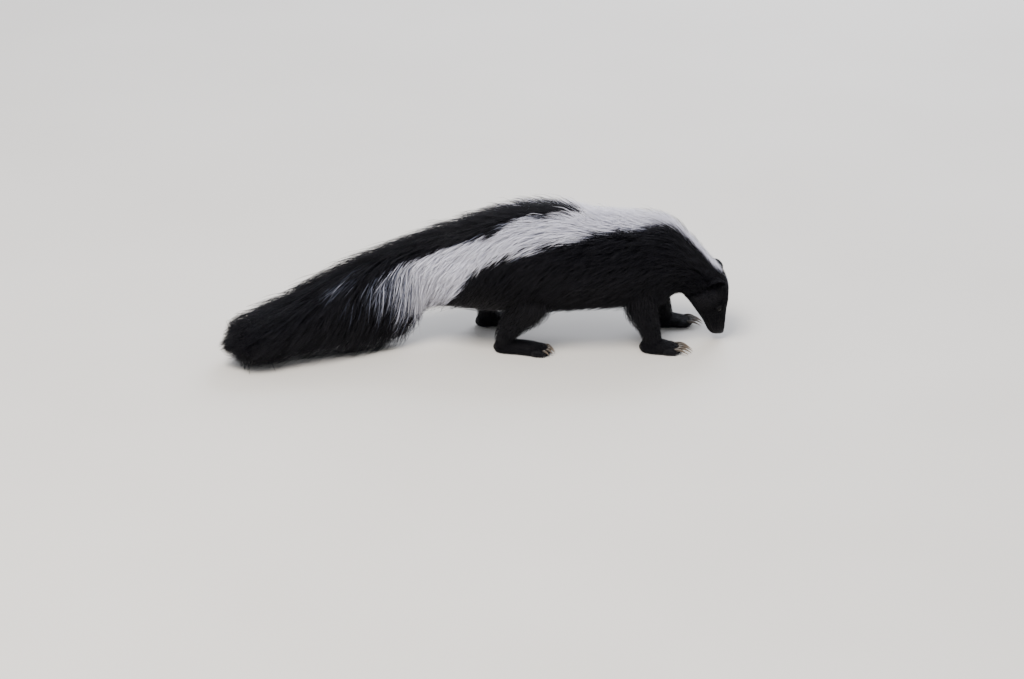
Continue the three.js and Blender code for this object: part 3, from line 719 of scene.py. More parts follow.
def toe_track(kind, across):
    """One toe as a short track from its root to its tip: a knuckle, a waist and a round pad."""
    x = kind["toes"] - TOES["stagger"] * across * across
    y = across * TOES["spread"]
    radius, length = TOES["radius"], TOES["length"]
    return Track({
        "root": (x - length, y, 4.4, 3.4, 3.2, 4.4, 0.6, 0.6, 0.1),
        "knuckle": (x - 2.5, y, 4.8, radius, radius * 0.95, 4.8, 0.8, 0.9, 0.1),
        "waist": (x + 2.5, y, 4.4, radius * 0.88, radius * 0.8, 4.4, 0.7, 0.7, 0.1),
        "pad": (x + 6, y, 4.1, radius * 0.8, radius * 0.66, 4.1, 0.6, 0.6, 0.1),
        "tip": (x + length, y, 3.6, radius * 0.3, radius * 0.25, 1.6, 0.3, 0.3, 0.1),
    })


def toe_places():
    """How far each toe stands to the side of the middle one, in toes."""
    return np.arange(TOES["count"]) - (TOES["count"] - 1) / 2


def limb_shell(track, step, round_):
    """A limb's skin as a closed surface, no lower than the floor."""
    rows = max(3, int(round(track.length / step)) + 1)
    s = np.linspace(0, track.length, rows)[:, None]
    angle = np.linspace(0, 360, round_, endpoint=False)[None]
    # Rising angles run from the top to the left, against a right-hand screw along the track.
    rings = track.point(s, -angle, 0)
    rings[..., 2] = np.maximum(rings[..., 2], 0)
    return shell(rings)


def ear_axes(sign):
    """An ear's three axes, across, towards its tip and to its front, and the middle of its bowl."""
    along, left, _, _ = head_axes()
    s = np.array(float(NOSE_TIP - EAR["back"]))
    base = spine.point(s, sign * EAR["angle"], 0.4)
    out = unit(base - spine.values(s)[:3])
    tall = unit(out - along * np.tan(np.radians(EAR["lean"])))
    front = along + left * sign * 0.55
    front = unit(front - tall * np.dot(front, tall))
    return np.cross(tall, front), tall, front, base + tall * EAR["stand"]


def ear_bowl(points, sign):
    """Points of a unit ball as an ear: the back is a flattened ball, and the front is pushed in as a bowl
    whose depth falls with the square of the distance from its middle."""
    rim = points[..., 0] ** 2 + points[..., 1] ** 2
    z = points[..., 2]
    z = np.where(z > 0, 0.25 * z - 0.95 * (1 - rim), 1.35 * z - 0.25 * (1 - rim))
    shaped = np.stack([points[..., 0] * EAR["wide"], points[..., 1] * EAR["tall"], z * EAR["deep"]], -1)
    across, tall, front, middle = ear_axes(sign)
    return placed(shaped, middle, across, tall, front)


def white_here(s, angle, tuft, hair, soft=1.0):
    """How white the coat is at s and angle, from 0 to 1.

    tuft and hair are draws from 0 to 1 for each tuft and hair. Tufts make the stripe's edges ragged. Where
    only a share is white, hairs go from white over grey to black by their draws. soft is the half width of
    an edge in degrees.
    """
    start, end, share = along_spine(WHITE, s)
    turned = (angle + 180) % 360 - 180
    turn = np.abs(turned)
    edge = 9 * (tuft - 0.5) + 4 * (hair - 0.5)
    draw = 0.25 * tuft + 0.75 * hair

    def between(x, low, high):
        return np.clip((x - low) / (2 * soft) + 0.5, 0, 1) * np.clip((high - x) / (2 * soft) + 0.5, 0, 1)

    def mix(part):
        return np.clip((1.75 * part - draw) / 0.75, 0, 1) ** 1.5

    stripe = between(turn, start + edge, end + edge) * mix(share)
    (low, high), (right, left) = STREAK["s"], STREAK["angle"]
    streak = ((s > low) & (s < high)) * between(turned, right + edge, left + edge)
    return np.maximum(stripe, streak * mix(STREAK["share"]))


def fuller(s, angle):
    """How much further the coat stands out than elsewhere: a hill along the spine times a step round it."""
    turn = np.abs((angle + 180) % 360 - 180)
    return sum(
        more * hill(s, middle, half) * smooth(turn, start, start + 35)
        for middle, half, start, more in FULLER.values()
    )


def nearest_on_spine(points, samples=700, block=4000):
    """For each point the s of the spine's nearest sample, the angle there, and the distance from the spine as
    a share of the skin's. The points are taken in blocks, which saves memory."""
    s_line = np.linspace(0, NOSE_TIP, samples)
    centres = spine.values(s_line)[:, :3]
    best = np.concatenate([
        ((points[i : i + block, None] - centres[None]) ** 2).sum(-1).argmin(1)
        for i in range(0, len(points), block)
    ])
    s = s_line[best]
    _, left, top = spine.frame(s)
    away = points - centres[best]
    v = spine.values(s)
    across, up = (away * left).sum(-1), (away * top).sum(-1)
    high = np.where(up > 0, v[:, 4], v[:, 5])
    angle = np.degrees(np.arctan2(across / v[:, 3], up / high))
    return s, angle, np.hypot(across / v[:, 3], up / high)


# Steps along a lock from root to tip, and how wide it is at each, as shares of its full width.
FINE_STEPS = ((0, 0.9), (0.5, 0.85))
SHORT_STEPS = ((0, 0.8), (0.36, 1), (0.72, 0.6))
LONG_STEPS = ((0, 0.7), (0.26, 1), (0.54, 0.85), (0.8, 0.5))
# How far from the spine's start the tail's innermost hairs end, how much further forward the outermost ones
# do and how much further yet by chance, and the least length that a hair keeps there.
BRUSH = {"end": 4, "round": 20, "ragged": 16, "least": 4}
# The share of its length that hair on the side loses for each degree that it bends down.
BEND_LOSS = 0.0063
# A point further from the spine than this many times the skin's distance belongs to a leg or an ear.
BODY_REACH = 1.35
# The skin's nap: how long its strokes are along the hair's lie, and how wide.
NAP = {"long": 6, "wide": 0.7}
# How far from the line of the lips, the tip of the nose and the eye's clear ring no hair is rooted.
BARE = {"lips": 0.7, "nose": 1.5, "eye": -0.6}


def locks(paths, outward, width, steps):
    """Closed three-sided locks along paths, each ending in a point.

    paths is (locks, steps + 1, 3) and outward the same without the tips. A section is a ridge about a third
    of the width high over a base of the full width, square to the path. Returns points, quads and tris.
    """
    count, rings = outward.shape[:2]
    ahead = unit(paths[:, 1:] - paths[:, :-1])
    out = unit(outward - ahead * (outward * ahead).sum(-1, keepdims=True))
    side = np.cross(ahead, out)
    share = np.array([w for _, w in steps])[None, :, None]
    half = width[:, None, None] * share / 2
    middle = paths[:, :-1]
    section = np.stack([middle + out * half * 0.5, middle + side * half - out * half * 0.2,
                        middle - side * half - out * half * 0.2], 2)
    points = np.concatenate([section.reshape(count, -1, 3), paths[:, -1:]], 1)
    i = np.arange(3)
    j = (i + 1) % 3
    r = np.arange(rings - 1)[:, None] * 3
    quads = np.stack([r + i, r + j, r + j + 3, r + i + 3], -1).reshape(-1, 4)
    last = (rings - 1) * 3
    tris = np.concatenate([np.stack([last + i, last + j, np.full(3, rings * 3)], -1), [[0, 2, 1]]])
    offset = (np.arange(count) * (rings * 3 + 1))[:, None, None]
    return points.reshape(-1, 3), (quads + offset).reshape(-1, 4), (tris + offset).reshape(-1, 3)


# The hair of the legs, paws and toes: its locks on each, its lengths at the limb's top and bottom, the width
# of a lock, how far the tips stand out beyond the coat's own depth, its steps, and the size and pull of its
# tufts.
LEG_HAIR = {
    "count": 2200,
    "lengths": (17, 5),
    "width": 0.66,
    "rise": 0.2,
    "steps": SHORT_STEPS,
    "tuft": (7, 0.35),
}
PAW_HAIR = {
    "count": 2300,
    "lengths": (6, 4),
    "width": 0.4,
    "rise": 0.9,
    "steps": FINE_STEPS,
    "tuft": (3.5, 0.25),
}
TOE_HAIR = {
    "count": 320,
    "lengths": (3.4, 2.2),
    "width": 0.32,
    "rise": 0.5,
    "steps": FINE_STEPS,
    "tuft": (3, 0.2),
}

# How wide a lock's patch is on the OFBake map.
PATCH = 0.003


def lock_uv(u, v, rings):
    """Each lock's patch on the map, round its root's place: across it from edge to ridge to edge, and up it
    from root to tip. One pair for each corner, the quads' first."""
    i = np.arange(3)
    j = (i + 1) % 3
    r = np.arange(rings - 1)[:, None] + 0 * i
    across = np.array([0.0, 0.5, -0.5])
    side_u = np.stack([across[i] + 0 * r, across[j] + 0 * r, across[j] + 0 * r, across[i] + 0 * r], -1)
    side_v = np.stack([r, r, r + 1, r + 1], -1) / rings - 0.5
    tip_u = np.stack([across[i], across[j], 0 * across], -1)
    tip_v = np.tile([(rings - 1) / rings - 0.5, (rings - 1) / rings - 0.5, 0.5], (3, 1))
    root_u, root_v = np.array([[0.0, -0.5, 0.5]]), np.array([[-0.5, -0.4, -0.4]])
    quads = np.stack([side_u.reshape(-1, 4), side_v.reshape(-1, 4)], -1).reshape(-1, 2)
    tris = np.stack([np.concatenate([tip_u, root_u]), np.concatenate([tip_v, root_v])], -1).reshape(-1, 2)
    place = np.stack([u, v], -1)[:, None]
    return np.concatenate([(place + quads * PATCH).reshape(-1, 2), (place + tris * PATCH).reshape(-1, 2)])


def coat_piece(name, parts, material):
    """Makes one piece of coat from lists of paths, outward ways, widths, step shares and hair values."""
    meshes, uvs_quads, uvs_tris, values = [], [], [], {"tone": [], "tip": [], "white": []}
    for part in parts:
        rings = len(part["steps"])
        made = locks(part["paths"], part["outward"], part["width"], part["steps"])
        meshes.append(made)
        uv = lock_uv(part["u"], part["v"], rings)
        split = len(made[1]) * 4
        uvs_quads.append(uv[:split])
        uvs_tris.append(uv[split:])
        count = len(part["width"])
        along = np.array([t for t, _ in part["steps"]] + [1.0])
        tip = np.concatenate([np.repeat(along[:-1], 3), along[-1:]])
        values["tip"].append(np.tile(tip, count))
        values["tone"].append(np.repeat(part["tone"], rings * 3 + 1))
        values["white"].append(np.repeat(part["white"], rings * 3 + 1))
    points, quads, tris = several(meshes)
    attributes = {label: np.concatenate(lists) for label, lists in values.items()}
    made = build_mesh(name, points, quads, tris, attributes, np.concatenate(uvs_quads + uvs_tris), material)
    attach(made, "root")
    return made


def chosen(part, kept):
    """The locks of a part of a coat that are kept."""
    return {key: value if key == "steps" else value[kept] for key, value in part.items()}


def full_or_less(count):
    """How many locks to make of the count of the full coat."""
    return int(count * bpy.context.scene.skunk_coat.density * (1))


def scatter(count, s_range, weight, rng):
    """Even places on a tube: s by the weight's running sum, and the angle by steps of the golden section."""
    s_line = np.linspace(*s_range, 400)
    running = np.concatenate([[0], np.cumsum(weight(s_line)[:-1] + weight(s_line)[1:])])
    share = (np.arange(count) + rng.random(count)) / count
    s = np.interp(share, running / running[-1], s_line)
    turn = (np.arange(count) * GOLDEN_SECTION + rng.random(count) * 0.02) % 1
    return s, turn * 360 - 180


def hashed(row, column, salt):
    """A number from 0 to 1 for each cell of a grid, the same each time: what lies behind the point in a large
    multiple of the sine of its row, column and salt, each times a number of its own."""
    return (np.sin(row * 12.9898 + column * 78.233 + salt * 37.719) * 43758.5453) % 1


def tuft_middles(s, angle, radius, size):
    """The middle of each place's tuft: the places are parted into cells of about size by size mm, and each
    cell's middle is moved by a hashed share. Returns s, angle and a number from 0 to 1 for each tuft."""
    row = np.floor(s / size)
    columns = np.maximum(np.round(2 * np.pi * radius / size), 4)
    offset = hashed(row, 0, 3)
    column = np.floor((angle + 180) / 360 * columns + offset)
    s_middle = (row + 0.5 + 0.7 * (hashed(row, column, 1) - 0.5)) * size
    share = (column + 0.5 + 0.7 * (hashed(row, column, 2) - 0.5) - offset) / columns
    return s_middle, share * 360 - 180, hashed(row, column, 5)


def comb(track, s, angle, look, rng, way=-1):
    """Paths of locks rooted on a track at s and angle.

    Each runs back or, with way at 1, on along the track for its length, less where it bends down round the
    side, which it does with the sine of its angle. It rises from the skin to its reach by 1 - (1 - t) to the
    power 1.9, t going from 0 at the root to 1 at the tip. Each size of tufts draws the tips to its middles by
    its pull and the square of t.
    """
    t = np.array([step for step, _ in look["steps"]] + [1.0])[None]
    count = len(s)
    length = (look["length"] * rng.uniform(0.72, 1.2, count))[:, None]
    droop = (look["droop"] * rng.uniform(0.7, 1.3, count))[:, None]
    # A few hairs stray far and most hardly at all.
    stray = rng.random(count) ** 12
    reach = (rng.uniform(*look["reach"], count) + look["more"] + look["stray"] * stray)[:, None]
    level = np.broadcast_to(look["level"], (count,))[:, None]
    sway = rng.normal(0, look["sway"], count)[:, None]
    s0, a0 = s[:, None], angle[:, None]
    sine = np.sin(np.radians(a0))
    # The outermost hairs of the tail's brush end further forward, which rounds it.
    end = BRUSH["end"] + BRUSH["round"] * reach**2 + BRUSH["ragged"] * rng.random((count, 1))
    room = s0 - end if way < 0 else track.length - s0
    run = np.minimum(length * (1 - BEND_LOSS * droop * np.abs(sine)), np.maximum(room, BRUSH["least"]))
    here = s0 + way * run * t
    turn = a0 + droop * sine * t**1.1 + sway * t
    for size, pull in look["tufts"]:
        s_middle, a_middle, _ = tuft_middles(s, angle, look["radius"], size)
        here = here + (s_middle[:, None] - s0) * pull * t**2
        turn = turn + (a_middle[:, None] - a0) * pull * t**2
    if look["face"]:
        here, turn = round_the_eyes(here, turn)
    risen = 1 - (1 - t) ** 1.9
    extra = look["rise"] * risen + (relief(here, turn) if look["face"] else 0)
    fur = level + (1 - level) * reach * risen
    paths = track.point(here, turn, fur, extra)
    outward = unit(track.point(here, turn, fur, extra + 1)[:, :-1] - paths[:, :-1])
    return paths, outward, here, turn


def round_the_eyes(s, angle):
    """Places moved away from the nearer eye, so that none is nearer than EYE["clear"]. The new distance is
    the fourth root of the sum of the fourth powers of the old one and of EYE["clear"]."""
    distance, back, down = from_eye(s, angle)
    share = (distance**4 + EYE["clear"] ** 4) ** 0.25 / np.maximum(distance, 0.01)
    side = np.where(angle < 0, -1, 1)
    moved = side * (EYE["angle"] + down * share / EYE["mm per degree"])
    return NOSE_TIP - EYE["back"] + back * share, np.where(distance < 15, moved, angle)


def body_coat(name, s_range, count, steps, rng, material, keep=None):
    """The coat of a length of the body, from the tail to the nose."""
    settings = bpy.context.scene.skunk_coat

    def around(s):
        """About the radius of the coat at s."""
        v = spine.values(s)
        return (v[..., 3] + (v[..., 4] + v[..., 5]) / 2 + 0.6 * (v[..., 6] + v[..., 7])) / 2 + 2

    s, angle = scatter(full_or_less(count), s_range, around, rng)
    if keep is not None:
        kept = keep(s, angle)
        s, angle = s[kept], angle[kept]
    length, width, droop = along_spine(LIE_ROWS, s)
    radius = around(s)
    small, large = 2 + 0.24 * length, 8 + 0.55 * length
    # Towards the nose the coat grows sleek: its tips end level, and stray hairs and tufts go. Its tips rise
    # a little off the face, but not at the very nose.
    sleek = smooth(s, spine.at["occiput"], spine.at["eyes"])
    pull = settings.pull * (1 - 0.6 * sleek.mean())
    look = {
        "steps": steps,
        "length": length * settings.length * beside_eyes_and_lips(s, angle),
        "droop": droop,
        "reach": (0.04 + 0.36 * smooth(s, 30, 110) + 0.25 * sleek, 1.02 - 0.07 * sleek),
        "stray": 0.3 * (1 - sleek),
        "more": fuller(s, angle),
        "rise": (0.45 * sleek * smooth(NOSE_TIP - s, 2, 14))[:, None],
        "level": skin_level(s, angle),
        "sway": 2.2,
        "radius": radius,
        "tufts": ((small.mean(), pull), (large.mean(), pull * 0.4)),
        "face": True,
    }
    paths, outward, here, turn = comb(spine, s, angle, look, rng)
    _, _, tuft = tuft_middles(s, angle, radius, small.mean())
    loose = rng.random(len(s))
    middle = len(steps) // 2 + 1
    white = white_here(here[:, middle], turn[:, middle], tuft, loose)
    # No hair goes through the floor, and those that lie on it lie at different heights.
    paths[..., 2] = np.maximum(paths[..., 2], 0.5 + 0.8 * loose[:, None])
    part = {
        "steps": steps,
        "paths": paths,
        "outward": outward,
        "width": width * rng.uniform(0.7, 1.3, len(s)),
        "tone": 0.5 * tuft + 0.5 * rng.random(len(s)),
        "white": white,
        "u": 0.02 + 0.96 * (angle + 180) / 360,
        "v": 0.02 + 0.96 * (s - s_range[0]) / (s_range[1] - s_range[0]),
    }
    return coat_piece(name, [part], material)


class SKUNK_OT_skin(Operator):
    """Makes the one skin under the whole coat"""

    bl_idname = "skunk.skin"
    bl_label = "Skin"

    def execute(self, context):
        tail = np.arange(BONE_END, spine.at["rump"], 4.0)
        trunk = np.arange(spine.at["rump"], spine.at["neck base"], 3.2)
        neck = np.arange(spine.at["neck base"], spine.at["ears"], 1.8)
        head = np.linspace(spine.at["ears"], NOSE_TIP, 84)
        s = np.concatenate([tail, trunk, neck, head])[:, None]
        angle = np.linspace(-180, 180, 144, endpoint=False)[None]
        body = build_mesh("skin_body", *shell(body_skin(s, -angle)))
        others = bpy.data.collections.new("skin_parts")
        context.scene.collection.children.link(others)
        shells = [shell(ear_bowl(ball(24, 40), sign)) for sign in (1, -1)]
        for foot, (kind, _, _, _) in FEET.items():
            tracks = [leg_track(foot), Track(kind["paw"])]
            tracks += [toe_track(kind, across) for across in toe_places()]
            for track in tracks:
                points, quads, tris = limb_shell(track, 2.0 if track.length < 50 else 3.0, 40)
                shells.append((foot_place(points, foot), quads, tris))
        for i, one in enumerate(shells):
            made = build_mesh(f"skin_part_{i}", *one)
            context.scene.collection.objects.unlink(made)
            others.objects.link(made)
        union = body.modifiers.new("union", "BOOLEAN")
        union.operand_type = "COLLECTION"
        union.collection = others
        union.operation = "UNION"
        union.solver = "MANIFOLD"
        context.view_layer.update()
        mesh = bpy.data.meshes.new_from_object(body.evaluated_get(context.evaluated_depsgraph_get()))
        for old in (*others.objects, body):
            bpy.data.objects.remove(old)
        bpy.data.collections.remove(others)
        points = np.zeros(len(mesh.vertices) * 3, np.float32)
        mesh.vertices.foreach_get("co", points)
        points = points.reshape(-1, 3) / MM - SHIFT
        if points[:, 2].min() > 1:
            raise RuntimeError("the skin's union lost its feet")
        mesh.name = "skin"
        skin = bpy.data.objects.new("skin", mesh)
        context.scene.collection.objects.link(skin)
        self.paint(mesh, points)
        mesh.materials.clear()
        mesh.materials.append(furred_skin())
        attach(skin, "root")
        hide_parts("torso", "neck", "head", "jaw", "tail", "ear_left", "ear_right", *FEET, *PAWS)
        return {"FINISHED"}

    @staticmethod
    def paint(mesh, points):
        """Writes the markings, the lie of the hair and the bare soles on the skin's points."""
        s, angle, out = nearest_on_spine(points)
        on_body = out < BODY_REACH
        set_attribute(mesh, "white", white_here(s, angle, 0.5, 0.5, 3.0) * on_body)
        radius = spine.values(s)[:, 3]
        turn = np.radians(angle)
        # In these places one unit is a stroke's length along the lie and its width across.
        long, wide = NAP["long"], NAP["wide"]
        strokes = np.stack([s / long, radius * np.sin(turn) / wide, radius * np.cos(turn) / wide], -1)
        legs = np.stack([points[:, 2] / long, points[:, 0] / wide, points[:, 1] / wide], -1)
        set_attribute(mesh, "lie", np.where(on_body[:, None], strokes, legs))
        set_attribute(mesh, "bare", (1 - smooth(points[:, 2], 1.5, 3.0)) * (points[:, 2] < 4))
        mesh.polygons.foreach_set("use_smooth", np.ones(len(mesh.polygons), bool))


class SKUNK_OT_eyes(Operator):
    """Makes the eyes and their lids"""

    bl_idname = "skunk.eyes"
    bl_label = "Eyes and lids"

    def execute(self, context):
        radius = context.scene.skunk_face.eye_radius / MM
        eye_material, lid_material = wet_eye(), bare_lid()
        for side, sign in (("left", 1), ("right", -1)):
            centre, out, across = eye_place(sign)
            centre = centre - out * EYE["set back"]
            up = np.cross(out, across)
            globe = ball(32, 48)
            # The cornea bulges over the iris by a twentieth of the radius.
            bulge = 1 + 0.05 * hill(np.degrees(np.arccos(np.clip(globe[..., :1], -1, 1))), 0, 30)
            rings = placed(globe * bulge * radius, centre, out, across, up)
            points, quads, tris = shell(rings)
            facing = (unit(points - centre) * out).sum(-1)
            pupil = {"pupil": smooth(facing, 0.86, 0.92)}
            eye = build_mesh(f"eyeball_{side}", points, quads, tris, pupil, material=eye_material)
            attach(eye, "root")
            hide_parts(f"eye_{side}")
            ring = self.lids(centre, out, across, up, radius)
            lids = build_mesh(f"lids_{side}", *ring, material=lid_material)
            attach(lids, "root")
        return {"FINISHED"}

    @staticmethod
    def lids(centre, out, across, up, radius):
        """Both lids as one closed ring whose opening has pointed corners.

        A point of the section lies at x = (half length + g) times the cosine of u and y = (half height + g)
        times the sine of u to the power p, with the sine's sign. g is how far it is from the opening's edge,
        and p goes from 1.6 there to 1 outside. Its height over the eye's centre is that of the ball which is
        larger than the eyeball by the section's lift.
        """
        u = np.linspace(0, 2 * np.pi, 96, endpoint=False)[:, None]
        g, lift = np.array(LID_SECTION).T[:, None]
        power = 1.6 - 0.6 * smooth(g, 0, 1.7)
        x = (LIDS["long"] + g) * np.cos(u)
        y = (LIDS["high"] + g) * np.sign(np.sin(u)) * np.abs(np.sin(u)) ** power
        z = np.sqrt(np.maximum((radius + lift) ** 2 - x**2 - y**2, 0.01))
        # The upper lid stands out a little further than the lower one.
        z = z + 0.25 * smooth(np.sin(u), 0, 1) * smooth(lift, 0, 0.3)
        points = placed(np.stack([x, y, z], -1), centre, across, up, out).reshape(-1, 3)
        count, round_ = x.shape
        i, j = np.arange(round_), (np.arange(round_) + 1) % round_
        r = np.arange(count)[:, None] * round_
        n = (np.arange(count)[:, None] + 1) % count * round_
        return outward_faces(points, np.stack([r + i, n + i, n + j, r + j], -1).reshape(-1, 4))


def outward_faces(points, quads):
    """Points, quads and no tris, with the quads turned if the closed surface's volume came out negative."""
    a, b, c, d = (points[quads[:, k]] - points.mean(0) for k in range(4))
    volume = (a * np.cross(b, c)).sum() + (a * np.cross(c, d)).sum()
    turned = quads if volume > 0 else quads[:, ::-1]
    return points, turned, np.zeros((0, 3), int)


class SKUNK_OT_nose(Operator):
    """Makes the nose pad with its nostrils"""

    bl_idname = "skunk.nose"
    bl_label = "Nose"

    def execute(self, context):
        along, left, top, tip = head_axes()
        rows = ball(72, 96)
        shaped = rows * np.array([NOSE["long"], NOSE["side"], NOSE["high"]])
        middle = tip - along * NOSE["back"] + top * NOSE["up"]
        # Two comma-shaped nostrils sink into the front and open at the side, and a groove runs down the
        # middle.
        y, z = shaped[..., 1], shaped[..., 2]
        front = smooth(rows[..., 0], 0.1, 0.5)
        reach = np.abs(y) - NOSTRIL["side"]
        hole = hill(reach, 0, NOSTRIL["radius"]) * hill(z, NOSTRIL["up"], 1.1 * NOSTRIL["radius"])
        slit = hill(z, NOSTRIL["up"] - 0.9, 0.6) * smooth(reach, 0, 1.2)
        slit = slit * (1 - smooth(rows[..., 0], 0.2, 0.7))
        groove = 0.55 * hill(y, 0, 0.5) * smooth(rows[..., 0], 0.2, 0.5)
        sunk = NOSTRIL["deep"] * hole * front + 0.9 * slit + groove
        shaped[..., 0] -= sunk
        rings = placed(shaped, middle, along, left, top)
        nose = build_mesh("nose_pad", *shell(rings), material=nose_leather())
        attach(nose, "root")
        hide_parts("nose")
        return {"FINISHED"}


class SKUNK_OT_claws(Operator):
    """Makes the claws of all four feet"""

    bl_idname = "skunk.claws"
    bl_label = "Claws"

    def execute(self, context):
        shells, tips = [], []
        t = np.linspace(0, 1, 22)[:, None]
        w = -np.linspace(0, 2 * np.pi, 14, endpoint=False)[None]
        for foot, (kind, _, _, _) in FEET.items():
            for across in toe_places():
                x = kind["toes"] - TOES["stagger"] * across * across + TOES["length"] - CLAW["sunk"]
                length = kind["claws"]
                # The middle line arches up by a sine and hooks down with the square of the way.
                line = np.stack([
                    x + t * length,
                    across * TOES["spread"] + CLAW["splay"] * across * t * length,
                    TOES["radius"] + CLAW["rise"] + CLAW["arch"] * np.sin(np.pi * t) - CLAW["hook"] * t * t,
                ], -1)
                # Flat-sided, with a rounded ridge above and thinner below, and drawn out to a blunt point.
                size = CLAW["radius"] * (1 - 0.9 * t**1.3)
                under = np.where(np.cos(w) < 0, 0.75, 1)
                section = np.stack([0 * w, 0.72 * np.sin(w), CLAW["high"] * np.cos(w) * under], -1)
                rings = line + size[..., None] * section
                shells.append(shell(foot_place(rings.reshape(-1, 3), foot).reshape(rings.shape)))
                tips.append(np.concatenate([np.repeat(smooth(t[:, 0], 0.1, 1), w.shape[1]), [0, 1]]))
        points, quads, tris = several(shells)
        tip = {"tip": np.concatenate(tips)}
        claws = build_mesh("claws", points, quads, tris, tip, material=claw_horn())
        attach(claws, "root")
        return {"FINISHED"}


class SKUNK_OT_whiskers(Operator):
    """Makes the whiskers on the muzzle"""

    bl_idname = "skunk.whiskers"
    bl_label = "Whiskers"

    def execute(self, context):
        face = context.scene.skunk_face
        rng = np.random.default_rng(SEED + 1)
        along, left, top, _ = head_axes()
        t = np.linspace(0, 1, 12)[None, :, None]
        paths, widths = [], []
        for sign in (1, -1):
            count = face.whiskers
            row = np.arange(count) % 3
            s = NOSE_TIP - (9 + 3.4 * (np.arange(count) // 3) + rng.uniform(-0.5, 0.5, count))
            angle = sign * (84 + 11 * row + rng.uniform(-2, 2, count))
            root = body_skin(s, angle, -0.5)
            out = unit(root - spine.values(s)[:, :3])
            length = face.whisker_length / MM * rng.uniform(0.6, 1.0, count)[:, None, None]
            # Each whisker leaves square to the skin and sweeps back along the head more and more.
            sweep = -along * rng.uniform(0.4, 0.8, count)[:, None]
            sweep = sweep + top * rng.uniform(-0.1, 0.25, count)[:, None]
            away = out[:, None] * (t - 0.3 * t**2) + sweep[:, None] * t**1.6
            paths.append(root[:, None] + length * away)
            widths.append(np.full(count, 0.34))
        paths = np.concatenate(paths)
        paths[..., 2] = np.maximum(paths[..., 2], 0.4)
        outward = np.broadcast_to(top, paths[:, :-1].shape)
        steps = [(v, 1 - 0.85 * v) for v in np.linspace(0, 1, 12)[:-1]]
        made = locks(paths, outward, np.concatenate(widths), steps)
        values = {"tip": 0.5, "tone": 0.6, "white": 0.0}
        attributes = {label: np.full(len(made[0]), value) for label, value in values.items()}
        whiskers = build_mesh("whiskers", *made, attributes, material=bpy.data.materials["guard_hair"])
        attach(whiskers, "root")
        return {"FINISHED"}


def clear_of_face(s, angle):
    """Keeps hair off the eyes, the nose pad and the line of the mouth."""
    d = NOSE_TIP - s
    from_lips = np.abs(np.abs(angle) - MOUTH["angle"]) * np.radians(1) * spine.values(s)[:, 3]
    clear_of_lips = (from_lips > BARE["lips"]) | (d > MOUTH["corner"])
    return (from_eye(s, angle)[0] > EYE["clear"] + BARE["eye"]) & (d > BARE["nose"]) & clear_of_lips


def beside_eyes_and_lips(s, angle):
    """The share of its length that hair keeps: less close to the eyes and along the lips."""
    d = NOSE_TIP - s
    eyes = 0.28 + 0.72 * smooth(from_eye(s, angle)[0], EYE["clear"], 14)
    lips = 1 - 0.5 * hill(np.abs(angle), MOUTH["angle"], 10) * (1 - smooth(d, MOUTH["corner"], 40))
    return eyes * lips


class SKUNK_OT_body_coat(Operator):
    """Makes the coat of tail, trunk, neck and head"""

    bl_idname = "skunk.body_coat"
    bl_label = "Body coat"

    def execute(self, context):
        rng = np.random.default_rng(SEED + 2)
        hair = guard_hair()
        at = spine.at
        trunk = np.linspace(at["rump"] - 12, at["neck base"], 4)
        body_coat("coat_tail_end", (BONE_END, at["tail middle"]), 7600, LONG_STEPS, rng, hair)
        body_coat("coat_tail_root", (at["tail middle"], trunk[0]), 8400, LONG_STEPS, rng, hair)
        for name, low, high in zip(("coat_rump", "coat_back", "coat_shoulders"), trunk[:-1], trunk[1:]):
            body_coat(name, (low, high), 10800, SHORT_STEPS, rng, hair)
        body_coat("coat_neck", (at["neck base"], at["cheeks"]), 9000, SHORT_STEPS, rng, hair)
        body_coat("coat_face", (at["cheeks"], NOSE_TIP), 18500, FINE_STEPS, rng, hair, clear_of_face)
        return {"FINISHED"}


